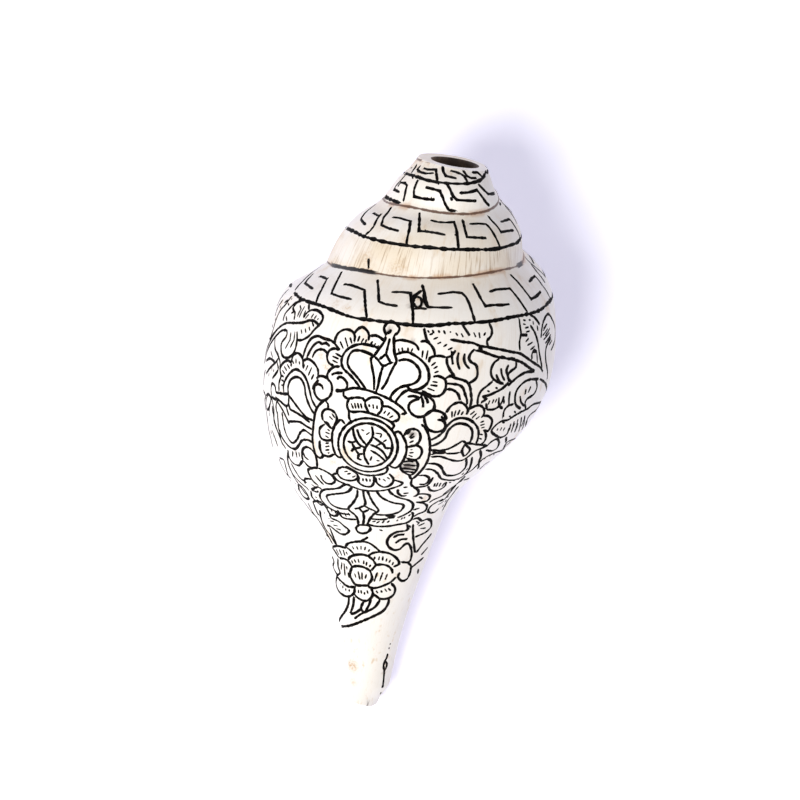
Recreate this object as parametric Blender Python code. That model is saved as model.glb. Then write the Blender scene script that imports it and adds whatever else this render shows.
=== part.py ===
"""Sacred chank shell made into a conch horn: one closed solid, in metres, +Z up, +Y towards the apex.

The shell is a spiral loft. A whorl section is a curve in a half plane through the shell's axis, given as
distance from the axis and depth below the point the whorls grow from. Two sections, half a turn apart,
fix the shell, and each point of a section grows by a steady ratio per turn. Angles are in turns, rising
with growth. Lengths in the section tables are in millimetres. The real shell leaves this rule in places.
A suture drop is where the suture sags: its angle, its half width in turns and its fall. A swelling is
given by its angle, its place along the section, its half widths in both, and its rise.
"""

import math

import bmesh
import bpy
import numpy as np

MM = 0.001
TURN_LEFT = 0.0
TURN_RIGHT = -0.55
TURN_UP = -0.2763
TURN_LIP = 0.078
TURN_OPEN = TURN_LIP - 1.0
TURN_FIRST = -3.5

SECTION_LEFT = np.array([
    (32.9, 53.2), (36.0, 55.9), (38.9, 59.2), (45.2, 64.6), (47.4, 78.5), (46.5, 92.0), (44.2, 106.4),
    (37.4, 119.2), (26.4, 131.4), (17.0, 143.3), (13.4, 156.0), (8.6, 170.3), (6.6, 185.8),
])
SECTION_RIGHT = np.array([
    (24.6, 39.7), (27.2, 42.7), (30.6, 45.5), (36.2, 52.6), (38.4, 62.0), (40.0, 74.5), (36.2, 88.3),
    (26.3, 100.8), (17.0, 112.2), (14.9, 123.8), (12.2, 140.0), (8.6, 162.3), (7.6, 185.8),
])
SPANS = len(SECTION_LEFT) - 1
SUTURE_DROPS = (
    (-1.36, 0.38, 3.1),
    (-1.07, 0.13, 1.1),
    (-0.50, 0.12, 1.3),
    (-0.22, 0.20, 1.2),
    (-0.08, 0.09, 0.9),
    (0.02, 0.14, 1.0),
)
DROP_SHARES = np.array([1.0, 0.8, 0.4])
SWELLINGS = (
    (-0.55, 1.9, 0.30, 1.7, 1.6),
    (0.00, 1.2, 0.27, 1.9, -0.9),
    (-1.02, 0.9, 0.22, 1.5, -0.2),
    (-1.57, 1.2, 0.27, 1.7, -0.6),
    (-2.00, 1.9, 0.25, 1.6, -1.4),
    (-2.53, 2.0, 0.27, 1.5, -2.4),
    (0.00, 12.0, 0.30, 1.8, -1.4),
    (-0.53, 12.0, 0.25, 1.3, 0.35),
    (-0.50, 12.0, 0.30, 0.32, -2.4),
)
SAMPLES_PER_SPAN = 20
WELD_REACH = 1.5
WELD_FADE_TURNS = 0.12

APEX_DEPTH = 17.35
APEX_POINT_DEPTH = 4.0
APEX_CUT_RADIUS = 30.0
MOUTH_HOLE_RADIUS = 6.9
BORE_RIM = ((-2.0, 0.6), (0.2, 0.3), (1.0, 0.0))
BORE_DEPTHS = (24.0, 36.0, 48.0, 56.0, 57.5)
BORE_RADII = (6.6, 6.2, 5.6, 4.8, 3.0)
WALL = 3.0
CANAL_WALL = 2.2
CANAL_WALL_DEPTHS = (140.0, 160.0)
LIP_ROUND = 1.2
LIP_ROUND_FADE = 4.0
LIP_LEAST_RADIUS = 4.0
TIP_ROUND = 1.2
TIP_ARC = np.radians([30.0, 60.0, 90.0])
GUTTER_FLOOR = 3.0
GUTTER_START_DEPTH = 140.0
GUTTER_FULL_DEPTH = 154.0
GUTTER_TURNS = 0.13
HOLLOW_CANAL_TURNS = 0.2
TIP_SLANT = 0.19
TIP_SLANT_DEPTHS = (164.0, 184.0)
CALLUS = 0.15
PLAIT_HEIGHT = 0.9
PLAIT_HALF_WIDTH = 2.4
PLAIT_PLACES = (8.25, 8.8, 9.3)
PLAIT_LIP_FADE = 0.05
PLAIT_START_TURNS = (1.2, 0.6)
TUBE_START = -2.05
TUBE_START_SHARE = 0.06
TUBE_GROW_TURNS = 0.35
TUBE_STEPS_PER_TURN = 24
TUBE_STATIONS = 17
TUBE_LIP_STEPS = np.array([-0.02, -0.009, -0.003, 0.0, 0.014])
FLARE_TURNS = 0.009
FLARE = 0.9
OVERSHOOT_GAP = 0.5
LEAST_HOLLOW = 0.35
DEPTH_SAMPLES = 600
STATION_MARGIN = 0.3
STATION_SPREAD = 0.05

REST_TILT = math.radians(13.85)
START_HEIGHT = 51.88
CENTRE_X = -3.53
CENTRE_Y = -98.62

STEPS_PER_TURN = 40
UPPER_ROWS = 6
LOWER_ROWS = 20
BORE_SIDES = 32
CUT_SIDES = 24
TABLE_HALF_SIZE = (0.1, 0.2)
TABLE_DEPTH = 0.03

SHELL_COLOUR = (0.86, 0.82, 0.74, 1.0)
SHELL_ROUGHNESS = 0.45


def smooth(value):
    value = np.clip(value, 0.0, 1.0)
    return value * value * (3.0 - 2.0 * value)


def section_cage(turn):
    """Control points of the section at an angle: each coordinate grows by a steady ratio per turn.

    Where the suture sags, the first points are lowered.
    """
    turn = np.asarray(turn, float)
    share = ((turn - TURN_RIGHT) / (TURN_LEFT - TURN_RIGHT))[..., None, None]
    cage = SECTION_LEFT ** share * SECTION_RIGHT ** (1.0 - share)
    for at_turn, half_turns, drop in SUTURE_DROPS:
        near = smooth(1.0 - np.abs(turn - at_turn) / half_turns)
        cage[..., :3, 1] += drop * near[..., None] * DROP_SHARES
    return cage


def raw_section(turn, place):
    """Clamped uniform cubic B-spline of the cage, place running from 0 at the suture to SPANS at the tip."""
    turn, place = np.broadcast_arrays(np.asarray(turn, float), np.asarray(place, float))
    cage = section_cage(turn)
    first = 2.0 * cage[..., :1, :] - cage[..., 1:2, :]
    last = 2.0 * cage[..., -1:, :] - cage[..., -2:-1, :]
    cage = np.concatenate([first, cage, last], axis=-2)
    place = np.clip(place, 0.0, SPANS)
    span = np.minimum(place.astype(int), SPANS - 1)
    f = place - span
    weights = ((1 - f) ** 3, 3 * f**3 - 6 * f**2 + 4, -3 * f**3 + 3 * f**2 + 3 * f + 1, f**3)
    total = 0.0
    for step, weight in enumerate(weights):
        index = np.broadcast_to((span + step)[..., None, None], span.shape + (1, 2))
        total = total + weight[..., None] / 6.0 * np.take_along_axis(cage, index, axis=-2)[..., 0, :]
    return total


def suture(turn):
    """Radius and depth of the line where a whorl starts on the one before."""
    return section_cage(turn)[..., 0, :]


def covered_place(turn):
    """Place on the section at which the next whorl, one turn later, starts to cover it."""
    places = np.linspace(0.0, SPANS, SPANS * SAMPLES_PER_SPAN + 1)
    turns = np.atleast_1d(np.asarray(turn, float))
    depths = raw_section(turns[:, None], places)[..., 1]
    targets = suture(turns + 1.0)[:, 1]
    found = np.array([np.interp(target, row, places) for target, row in zip(targets, depths)])
    return found.reshape(np.shape(turn))


def section(turn, place):
    """The finished section: welded to the next whorl's suture, hollowed at the gutter, its tip cut aslant."""
    turn, place = np.broadcast_arrays(np.asarray(turn, float), np.asarray(place, float))
    points = raw_section(turn, place).copy()
    known, back = np.unique(turn, return_inverse=True)
    covered = covered_place(known)
    gap = suture(known + 1.0)[:, 0] - raw_section(known, covered)[:, 0]
    gap = gap * (1.0 - smooth((known - TURN_OPEN) / WELD_FADE_TURNS))
    covered = covered[back].reshape(turn.shape)
    gap = gap[back].reshape(turn.shape)
    points[..., 0] += gap * smooth(1.0 - np.abs(place - covered) / WELD_REACH)
    for at_turn, at_place, half_turns, half_places, rise in SWELLINGS:
        near = smooth(1.0 - np.abs(turn - at_turn) / half_turns)
        points[..., 0] += rise * near * smooth(1.0 - np.abs(place - at_place) / half_places)
    past = turn - TURN_OPEN
    share = 1.0 - smooth(np.where(past >= 0.0, past / GUTTER_TURNS, -past / HOLLOW_CANAL_TURNS))
    along = smooth((points[..., 1] - GUTTER_START_DEPTH) / (GUTTER_FULL_DEPTH - GUTTER_START_DEPTH))
    points[..., 0] -= np.maximum(points[..., 0] - GUTTER_FLOOR, 0.0) * share * along
    side = -points[..., 0] * np.sin(2.0 * math.pi * (turn - TURN_UP))
    above, below = TIP_SLANT_DEPTHS
    points[..., 1] += TIP_SLANT * side * smooth((points[..., 1] - above) / (below - above))
    return points


def inward(points):
    """Unit normals of section curves (points along the second last axis), turned towards the axis."""
    tangent = np.gradient(points, axis=-2)
    tangent /= np.linalg.norm(tangent, axis=-1, keepdims=True)
    return np.stack([-tangent[..., 1], tangent[..., 0]], axis=-1)


def to_row(radius, depth, turn):
    """Shell coordinates to metres in the row frame: the shell lies on its bulge, canal tip and lip edge."""
    angle = 2.0 * math.pi * (np.asarray(turn, float) - TURN_UP)
    side = -radius * np.sin(angle)
    up = radius * np.cos(angle)
    y = -depth * math.cos(REST_TILT) - up * math.sin(REST_TILT)
    z = -depth * math.sin(REST_TILT) + up * math.cos(REST_TILT)
    return np.stack([side - CENTRE_X, y - CENTRE_Y, z + START_HEIGHT], axis=-1) * MM


def whorls():
    """Vertices and faces of the uncut shell: the spiral wall, rounded lip, mouth face, tip and apex."""
    steps = int(round((TURN_LIP - TURN_FIRST) * STEPS_PER_TURN))
    turns = TURN_LIP + (np.arange(steps + 1) - steps) / STEPS_PER_TURN
    lip = steps
    under = steps - STEPS_PER_TURN
    covered = covered_place(turns)
    covered[under:] = covered[under]
    upper = np.linspace(0.0, 1.0, UPPER_ROWS + 1) * covered[:, None]
    rest = np.linspace(0.0, 1.0, LOWER_ROWS + 1)[1:]
    lower = covered[:, None] + (SPANS - covered[:, None]) * rest
    places = np.concatenate([upper, lower], axis=1)
    points = section(np.broadcast_to(turns[:, None], places.shape), places)
    end = points[:, -1:, :]
    tip = np.stack([
        end[..., 0] - TIP_ROUND * (1.0 - np.cos(TIP_ARC)),
        end[..., 1] + TIP_ROUND * np.sin(TIP_ARC),
    ], axis=-1)
    points = np.concatenate([points, tip], axis=1)
    rows = points.shape[1] - 1

    ids = -np.ones((steps + 1, rows + 1), int)
    verts = []
    angles = np.broadcast_to(turns[:, None], points.shape[:2]).copy()
    edge_turn = LIP_ROUND / (2.0 * math.pi * np.maximum(points[lip, :, 0], LIP_LEAST_RADIUS))
    away = np.minimum(np.linalg.norm(points[lip] - points[lip, 0], axis=1) / LIP_ROUND_FADE, 1.0)
    above_tip = points[lip, -1 - len(TIP_ARC), 1] - points[lip, :, 1]
    away = np.minimum(away, np.clip(above_tip / LIP_ROUND_FADE, 0.0, 1.0))
    angles[lip] -= edge_turn * away
    for column in range(steps + 1):
        for row in range(rows + 1):
            if column < under and row >= UPPER_ROWS:
                continue
            if column == under and row == UPPER_ROWS:
                continue
            ids[column, row] = len(verts)
            verts.append((points[column, row, 0], points[column, row, 1], angles[column, row]))
    ids[:under + 1, UPPER_ROWS] = ids[STEPS_PER_TURN:STEPS_PER_TURN + under + 1, 0]

    faces = []
    for column in range(steps):
        last_row = rows if column >= under else UPPER_ROWS
        for row in range(last_row):
            here, there = ids[column], ids[column + 1]
            faces.append((here[row], there[row], there[row + 1], here[row + 1]))

    normal = inward(points[lip])
    before = ids[lip].copy()
    for bend in (0.5 * math.pi / 2.0, math.pi / 2.0):
        row_ids = before.copy()
        moved = points[lip] + normal * (LIP_ROUND * (1.0 - math.cos(bend)) * away)[:, None]
        turn_row = TURN_LIP - edge_turn * (1.0 - math.sin(bend)) * away
        for row in range(rows + 1):
            if away[row] > 0.0:
                row_ids[row] = len(verts)
                verts.append((moved[row, 0], moved[row, 1], turn_row[row]))
        for row in range(rows):
            ring = [before[row], row_ids[row], row_ids[row + 1], before[row + 1]]
            ring = [value for spot, value in enumerate(ring) if value not in ring[:spot]]
            if len(ring) > 2:
                faces.append(tuple(ring))
        before = row_ids
    inner_edge = ids[under, UPPER_ROWS:]
    faces.append(tuple(before[::-1]) + tuple(inner_edge[1:]))
    faces.append(tuple(ids[under:lip + 1, -1]))
    apex = len(verts)
    verts.append((0.0, APEX_POINT_DEPTH, 0.0))
    rim = list(ids[:STEPS_PER_TURN + 1, 0]) + list(ids[0, :UPPER_ROWS][::-1])
    for one, two in zip(rim, rim[1:]):
        faces.append((one, two, apex))
    verts = np.array(verts)
    return to_row(verts[:, 0], verts[:, 1], verts[:, 2]), faces


def tube_turns():
    """Angles of the hollow's sections, closer together at the lip and ending a little past it."""
    inside = np.arange(TUBE_START, TURN_LIP + 1.5 * TUBE_LIP_STEPS[0], 1.0 / TUBE_STEPS_PER_TURN)
    return np.concatenate([inside, TURN_LIP + TUBE_LIP_STEPS])


def tube_loop(turn):
    """Section of the hollow at an angle, as radius and depth round a closed loop.

    The outer side is the whorl's section moved inwards by the wall. The inner side is the whorl before,
    with a thin callus and the plaits of the columella. The ends are where the two sides close up.
    """
    places = np.linspace(0.0, SPANS, SPANS * SAMPLES_PER_SPAN + 1)
    outside = section(turn, places)
    above, below = CANAL_WALL_DEPTHS
    wall = WALL + (CANAL_WALL - WALL) * smooth((outside[:, 1] - above) / (below - above))
    flare = np.clip((turn - TURN_LIP + FLARE_TURNS) / FLARE_TURNS, 0.0, 1.0)
    wall = wall - FLARE * (1.0 - math.sqrt(1.0 - flare * flare))
    outside = outside + inward(outside) * wall[:, None]
    under = section(turn - 1.0, places)
    depths = np.linspace(outside[0, 1], outside[-1, 1], DEPTH_SAMPLES)
    order = np.argsort(outside[:, 1])
    outer = np.interp(depths, outside[order, 1], outside[order, 0])
    inner = np.interp(depths, under[:, 1], under[:, 0])
    ahead = max(turn - TURN_LIP, 0.0) / TUBE_LIP_STEPS[-1]
    inner = inner + CALLUS + OVERSHOOT_GAP * ahead
    plaits = section(turn - 1.0, np.array(PLAIT_PLACES))[:, 1]
    oldest, growth = PLAIT_START_TURNS
    rise = PLAIT_HEIGHT * smooth((TURN_LIP - turn) / PLAIT_LIP_FADE)
    rise = rise * smooth((turn - TURN_LIP + oldest) / growth)
    for depth in plaits:
        inner = inner + rise * smooth(1.0 - np.abs(depths - depth) / PLAIT_HALF_WIDTH)
    inner = np.minimum(inner, outer)
    open_part = outer - inner > LEAST_HOLLOW
    low = high = int(np.argmax(outer - inner))
    while low > 0 and open_part[low - 1]:
        low -= 1
    while high < len(depths) - 1 and open_part[high + 1]:
        high += 1
    top, bottom = depths[low], depths[high]
    stations = top + (bottom - top) * (1.0 - np.cos(np.linspace(0.0, math.pi, TUBE_STATIONS))) / 2.0
    marks = np.concatenate([plaits - PLAIT_HALF_WIDTH, plaits, plaits + PLAIT_HALF_WIDTH])
    marks = np.clip(marks, top + STATION_MARGIN, bottom - STATION_MARGIN)
    stations = np.sort(np.concatenate([stations, marks]))
    stations[1:-1] += np.linspace(0.0, STATION_SPREAD, len(stations) - 2)
    grown = float(smooth((turn - TUBE_START + TUBE_START_SHARE) / TUBE_GROW_TURNS))
    inner_side = np.interp(stations, depths, inner)
    outer_side = inner_side + (np.interp(stations, depths, outer) - inner_side) * grown
    return np.concatenate([
        np.stack([outer_side, stations], axis=1),
        np.stack([inner_side, stations], axis=1)[::-1],
    ])


def tube():
    """Vertices and faces of the hollow that winds from the apex down to the mouth."""
    turns = tube_turns()
    loops = [tube_loop(turn) for turn in turns]
    count = len(loops[0])
    verts = np.concatenate([to_row(loop[:, 0], loop[:, 1], turn) for loop, turn in zip(loops, turns)])
    faces = []
    for ring in range(len(turns) - 1):
        for spot in range(count):
            after = (spot + 1) % count
            start = ring * count
            faces.append((start + spot, start + after, start + count + after, start + count + spot))
    faces.append(tuple(range(count))[::-1])
    faces.append(tuple(range((len(turns) - 1) * count, len(turns) * count)))
    return verts, faces


def lathe(outline, count):
    """Vertices and faces of a solid of revolution about the shell's axis, closed by its end rings."""
    angles = np.arange(count) / count
    verts = np.concatenate([
        to_row(np.full(count, radius), np.full(count, depth), angles) for radius, depth in outline
    ])
    faces = []
    for ring in range(len(outline) - 1):
        for spot in range(count):
            after = (spot + 1) % count
            start = ring * count
            faces.append((start + spot, start + after, start + count + after, start + count + spot))
    faces.append(tuple(range(count))[::-1])
    faces.append(tuple(range((len(outline) - 1) * count, len(outline) * count)))
    return verts, faces


def make_object(name, verts, faces, collection):
    mesh = bpy.data.meshes.new(name)
    mesh.from_pydata(verts.tolist(), [], [tuple(map(int, face)) for face in faces])
    mesh.validate()
    work = bmesh.new()
    work.from_mesh(mesh)
    bmesh.ops.recalc_face_normals(work, faces=work.faces)
    work.to_mesh(mesh)
    work.free()
    item = bpy.data.objects.new(name, mesh)
    collection.objects.link(item)
    return item


def cut(body, cutter):
    cutter.display_type = "WIRE"
    cutter.hide_render = True
    step = body.modifiers.new(cutter.name, "BOOLEAN")
    step.operation = "DIFFERENCE"
    step.solver = "EXACT"
    step.object = cutter


def table_block():
    """A block under the table plane, so that what touches the table ends in small flats."""
    wide, long = TABLE_HALF_SIZE
    corners = np.array([(x, y, z) for z in (-TABLE_DEPTH, 0.0) for y in (-long, long) for x in (-wide, wide)])
    sides = [(0, 2, 3, 1), (4, 5, 7, 6), (0, 1, 5, 4), (2, 6, 7, 3), (0, 4, 6, 2), (1, 3, 7, 5)]
    return corners, sides


def shell_material():
    material = bpy.data.materials.new("shell")
    material.use_nodes = True
    surface = material.node_tree.nodes["Principled BSDF"]
    surface.inputs["Base Color"].default_value = SHELL_COLOUR
    surface.inputs["Roughness"].default_value = SHELL_ROUGHNESS
    return material


def main():
    for item in list(bpy.data.objects):
        bpy.data.objects.remove(item, do_unlink=True)
    scene = bpy.context.scene
    parts = bpy.data.collections.new("chank shell")
    cutters = bpy.data.collections.new("cutters")
    scene.collection.children.link(parts)
    scene.collection.children.link(cutters)

    shell = make_object("shell", *whorls(), parts)
    shell.data.materials.append(shell_material())
    above_rim = [(APEX_CUT_RADIUS, APEX_DEPTH - APEX_CUT_RADIUS), (APEX_CUT_RADIUS, APEX_DEPTH)]
    bore = [(MOUTH_HOLE_RADIUS + wider, APEX_DEPTH + below) for below, wider in BORE_RIM]
    bore += zip(BORE_RADII, BORE_DEPTHS)
    cut(shell, make_object("apex_cut", *lathe(above_rim, CUT_SIDES), cutters))
    cut(shell, make_object("hollow", *tube(), cutters))
    cut(shell, make_object("mouth_hole", *lathe(bore, BORE_SIDES), cutters))
    cut(shell, make_object("table", *table_block(), cutters))


main()
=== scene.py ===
"""Looks of the sacred chank horn: the whole shell in one surface, with its engraving cut in and inked.

The shell's form repeats the formulas of the part's source, in millimetres and more finely. A point of the
shell is named by its turn (whole turns, rising with growth) and its place along the whorl's section (from
0 at the suture to SPANS at the canal's tip). The chart is a flat map of the outside: across is the turn as
an angle, up is the way along the section measured in local radii, so small shapes keep their form on it.
The engraving is listed as strokes seen from the camera. Each stroke is brought down onto the shell, laid
out on the chart and cut into the surface as a groove with pigment in it.
"""

import math

import bmesh
import bpy
import numpy as np
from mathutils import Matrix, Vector
from mathutils.geometry import delaunay_2d_cdt

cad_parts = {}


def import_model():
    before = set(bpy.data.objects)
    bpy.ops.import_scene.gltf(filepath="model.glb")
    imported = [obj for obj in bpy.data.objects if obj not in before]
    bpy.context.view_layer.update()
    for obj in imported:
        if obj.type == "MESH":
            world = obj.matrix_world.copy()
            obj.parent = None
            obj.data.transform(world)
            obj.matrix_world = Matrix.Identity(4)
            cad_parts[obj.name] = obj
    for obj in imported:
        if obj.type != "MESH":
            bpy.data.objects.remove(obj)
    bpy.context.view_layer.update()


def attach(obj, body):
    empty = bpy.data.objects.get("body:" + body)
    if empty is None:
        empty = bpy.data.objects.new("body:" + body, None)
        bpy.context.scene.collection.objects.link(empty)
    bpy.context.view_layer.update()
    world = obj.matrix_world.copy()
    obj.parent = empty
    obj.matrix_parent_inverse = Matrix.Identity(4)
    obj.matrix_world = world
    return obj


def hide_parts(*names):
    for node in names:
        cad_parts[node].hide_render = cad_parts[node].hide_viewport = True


MM = 0.001

# Turns of the picture's left limb, of its right limb, of the side that faces up, and of the lip.
TURN_LEFT = 0.0
TURN_RIGHT = -0.55
TURN_UP = -0.2763
TURN_LIP = 0.078

# Control points of the section at the left and the right limb: radius, depth below the natural apex.
SECTION_LEFT = np.array([
    (32.9, 53.2), (36.0, 55.9), (38.9, 59.2), (45.2, 64.6), (47.4, 78.5), (46.5, 92.0), (44.2, 106.4),
    (37.4, 119.2), (26.4, 131.4), (17.0, 143.3), (13.4, 156.0), (8.6, 170.3), (6.6, 185.8),
])
SECTION_RIGHT = np.array([
    (24.6, 39.7), (27.2, 42.7), (30.6, 45.5), (36.2, 52.6), (38.4, 62.0), (40.0, 74.5), (36.2, 88.3),
    (26.3, 100.8), (17.0, 112.2), (14.9, 123.8), (12.2, 140.0), (8.6, 162.3), (7.6, 185.8),
])
SPANS = len(SECTION_LEFT) - 1
# Swellings of the outside: turn, place, half turns, half places, rise of the radius.
SWELLINGS = (
    (-0.55, 1.9, 0.30, 1.7, 1.6),
    (0.00, 1.2, 0.27, 1.9, -0.9),
    (-1.02, 0.9, 0.22, 1.5, -0.2),
    (-1.57, 1.2, 0.27, 1.7, -0.6),
    (-2.00, 1.9, 0.25, 1.6, -1.4),
    (-2.53, 2.0, 0.27, 1.5, -2.4),
    (0.00, 12.0, 0.30, 1.8, -1.4),
    (-0.53, 12.0, 0.25, 1.3, 0.35),
    (-0.50, 12.0, 0.30, 0.32, -2.4),
)

# Sags of the suture: turn, half turns, drop. The shares are those of the first three control points.
SUTURE_DROPS = (
    (-1.36, 0.38, 3.1),
    (-1.07, 0.13, 1.1),
    (-0.50, 0.12, 1.3),
    (-0.22, 0.20, 1.2),
    (-0.08, 0.09, 0.9),
    (0.02, 0.14, 1.0),
)
DROP_SHARES = np.array([1.0, 0.8, 0.4])
# Reach of the correction that welds a whorl to the next one's suture, and fineness of the tables.
WELD_PLACES = 1.5
WELD_END_TURNS = 0.12
TABLE_STEPS_PER_SPAN = 12
WAY_STEPS_PER_SPAN = 20

# The cut apex and the blowing hole. The rim's pairs are depth below the cut and widening of the hole.
APEX_DEPTH = 17.35
NATURAL_APEX_DEPTH = 4.0
APEX_CUT_HEIGHT = 30.0
APEX_CUT_RADIUS = 30.0
MOUTH_HOLE_RADIUS = 6.9
BORE_RIM = ((-2.0, 0.6), (0.0, 0.36), (0.25, 0.2), (0.6, 0.05), (1.2, 0.0))
BORE_DEPTHS = (24.0, 36.0, 48.0, 56.0, 57.5)
BORE_RADII = (6.6, 6.2, 5.6, 4.8, 3.0)
LATHE_STEPS = 120

# The shell's wall, its rounded edges and the open canal.
WALL = 3.0
CANAL_WALL = 2.2
CANAL_WALL_DEPTH = 140.0
CANAL_WALL_REACH = 20.0
LIP_ROUND = 1.2
TIP_ROUND = 1.2
ROUNDING = np.radians([30.0, 60.0, 90.0])
LIP_GROW = 4.0
GUTTER_FLOOR = 3.0
GUTTER_START_DEPTH = 140.0
GUTTER_FULL_DEPTH = 154.0
GUTTER_TURNS = 0.13
HOLLOW_CANAL_TURNS = 0.2
TIP_SLANT = 0.19
TIP_SLANT_DEPTHS = (164.0, 184.0)

# The hollow: its glaze and plaits on the columella, its narrow start, and its flare at the lip.
CALLUS = 0.15
PLAIT_HEIGHT = 0.9
PLAIT_HALF_WIDTH = 2.4
PLAIT_PLACES = (8.25, 8.8, 9.3)
TUBE_START = -2.05
TUBE_GROW_TURNS = 0.35
TUBE_HEAD_START = 0.06
TUBE_LIP_ROOM = 0.03
TUBE_STEPS_PER_TURN = 72
TUBE_LAST_TURNS = np.array([-0.02, -0.014, -0.009, -0.006, -0.003, -0.001, 0.0, 0.014])
TUBE_PLACES = 241
TUBE_DEPTHS = 600
TUBE_STATIONS = 49
PLAIT_END_TURNS = 0.05
PLAIT_START_TURNS = 1.2
PLAIT_GROW_TURNS = 0.6
FLARE = 0.9
FLARE_TURNS = 0.009
AHEAD_TURNS = 0.014
AHEAD_RISE = 0.5
NARROWEST_HOLLOW = 0.35

# How the shell rests on the table, and the middle of its box.
REST_TILT = math.radians(13.85)
START_HEIGHT = 51.88
CENTRE_X = -3.53
CENTRE_Y = -98.62

# Fineness of the surface, and the strip along the suture that takes its stain.
STEPS_PER_TURN = 200
COLUMNS = 716
TURN_FIRST = TURN_LIP - COLUMNS / STEPS_PER_TURN
TURN_OPEN = TURN_LIP - 1.0
LIP_ROWS = 120
OPENING_ROWS = 90
APEX_ROWS = 12
GROUND_SPACING = 1.5
GROUND_RADIUS = 42.0
GROUND_TURN_STEPS = 1400
GROUND_CUT_ROOM = 0.5
SLOPE_STEP = 1e-3
GROUND_EDGE_ROOM = 0.8
GROUND_APEX_ROOM = 0.1
SEAM_ROWS = (0.3, 0.8)
SEAM_REACH = 2.6
INKED_SEAMS = ((-0.06, -0.185), (-0.45, -0.49))
INKED_SEAM_SOFTNESS = 0.01
SCRATCHED_BAND = (-0.45, -1.95, 0.1)
BAND_EDGE = 0.8
SHARP_ANGLE = math.radians(28.0)

# The camera, and how strokes seen from it are told apart where they leave the visible side.
CAMERA_PLACE = np.array([-0.263, 9.743, 1033.14])
CAMERA_TURN = math.radians(10.0)
CAMERA_LENS = 150.0
CAMERA_SENSOR = 36.0
PHOTO_SIZE = 800.0
STEEPEST_STEP = 0.9
STEP_ROOM = 2.0
LONGEST_ANGLE = 1.0
TURN_LOWEST_SEEN = -0.62
NET_FIRST_TURN = -3.0
NET_STEPS_PER_TURN = 150
NET_WAYS = 130
NET_FACING = 0.03
NEWTON_STEPS = 8
PICTURE_STEP = 1e-4
LONGEST_MOVE = 0.06
LARGEST_MISS = 0.7

# Cuts of the graver by kind: half width, depth, whether straight from point to point, unrest of the hand.
STROKE_STEP = 0.9
UNREST_LIMIT = 1.5
END_SHARE = 0.3
END_WIDTH = 0.8
SEED = 11
CLOSED_GAP = 0.5
EDGE_ROOM = 0.25
SHARPEST_BEND = 0.6
INK_MARGIN = 0.01
CUT_REACH = 1.5
FAR_OUTSIDE = 9.0
CUTS = {
    "row": (0.54, 0.42, False, 0.24),
    "fret": (0.46, 0.38, True, 0.14),
    "line": (0.45, 0.36, False, 0.14),
    "tick": (0.31, 0.24, True, 0.16),
}
KINDS = {
    "band lines": "row",
    "fret at the rim": "fret",
    "fret on the second whorl": "fret",
    "fret on the third whorl": "fret",
    "fret on the body": "fret",
    "damage in the fret": "fret",
}
RING_POINTS = 33
# Rings of the medallion, seen from the camera: centre, both radii, lean in degrees.
MEDALLION_RINGS = (
    ((368.0, 445.0), (30.0, 26.5), 15.0),
    ((368.0, 445.0), (24.5, 21.5), 15.0),
)
# The hidden sides: the key fret's two strokes in a unit square, the line under the fret (turn, place), the
# stretches of turns that fret and line still need (with the number of frets), and mirrored groups (which,
# turn of the mirror, lowest and highest turn).
FRET_SHAPES = (
    ((0.0, 0.06), (0.0, 0.62), (0.52, 0.62)),
    ((0.22, 0.34), (0.76, 0.34), (0.76, 0.98)),
)
ROW_LINE = (
    (-3.50, 1.60), (-2.43, 1.70), (-2.28, 2.05), (-2.06, 1.88), (-1.75, 2.55), (-1.47, 2.87), (-1.34, 2.79),
    (-1.17, 2.83), (-1.03, 2.78), (-0.75, 2.72), (-0.47, 2.66), (-0.33, 2.80), (-0.21, 2.96), (-0.13, 2.83),
    (-0.04, 2.62), (0.10, 2.60),
)
FRET_STRETCHES = ((0.070, 0.0, 1), (-0.53, -1.00, 8), (-1.55, -2.00, 6), (-2.50, -2.95, 4))
LOWER_FRET_STRETCH = (-1.78, -2.02, 3)
ROW_LINE_STRETCHES = ((0.072, -0.044), (-0.478, -1.022), (-1.475, -2.055), (-2.46, -3.00))
RIGHT_GROUPS = (
    "twig on the right", "leaves on the right", "right vajra head", "scallops round the right head",
    "curls right of the upper head", "curls at the lower right", "curls above the lotus on the right",
)
LEFT_GROUPS = (
    "left edge scrolls", "leaf at the upper left", "left vajra head", "scallops round the left head",
    "curls at the lower left",
)
MIRRORED = ((RIGHT_GROUPS, -0.512, -0.90, -0.512), (LEFT_GROUPS, -0.036, -0.036, 0.07))

# Stains and dirt: place seen from the camera, radius in millimetres, strength.
TAN_SPOTS = (
    ((352, 665.5), 3.2, 1.0), ((353, 682), 1.9, 0.45), ((385.8, 665), 0.9, 1.0), ((384.3, 673.5), 0.8, 1.0),
    ((422, 411), 1.6, 0.6), ((412, 420), 1.6, 0.6), ((400, 475), 2.6, 0.5), ((333, 462), 2.2, 0.7),
    ((347, 308), 1.6, 0.8), ((363, 309), 1.4, 0.6), ((326, 366), 2.2, 0.7), ((320, 356), 1.8, 0.6),
    ((418, 300), 1.5, 0.9), ((336, 303), 2.4, 0.5), ((352, 332), 2.4, 0.3), ((397, 478), 2.2, 0.6),
    ((398, 268), 4.5, 0.5), ((366, 258), 4.0, 0.5), ((405, 240), 3.0, 0.5), ((382, 226), 2.6, 0.5),
)
DIRT_SPOTS = (
    ((412, 296), 1.3, 1.0), ((412, 306), 1.3, 1.0), ((424, 303), 1.0, 0.9), ((416, 307), 1.0, 0.8),
    ((409, 466), 3.4, 1.0), ((405, 468), 2.2, 1.0), ((412, 434.5), 1.8, 1.0), ((367.5, 705.5), 0.5, 0.9),
    ((385.3, 663), 0.7, 0.8), ((384.2, 672), 0.7, 0.8), ((389, 331), 1.3, 1.0), ((413, 341), 0.8, 0.8),
)

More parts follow.
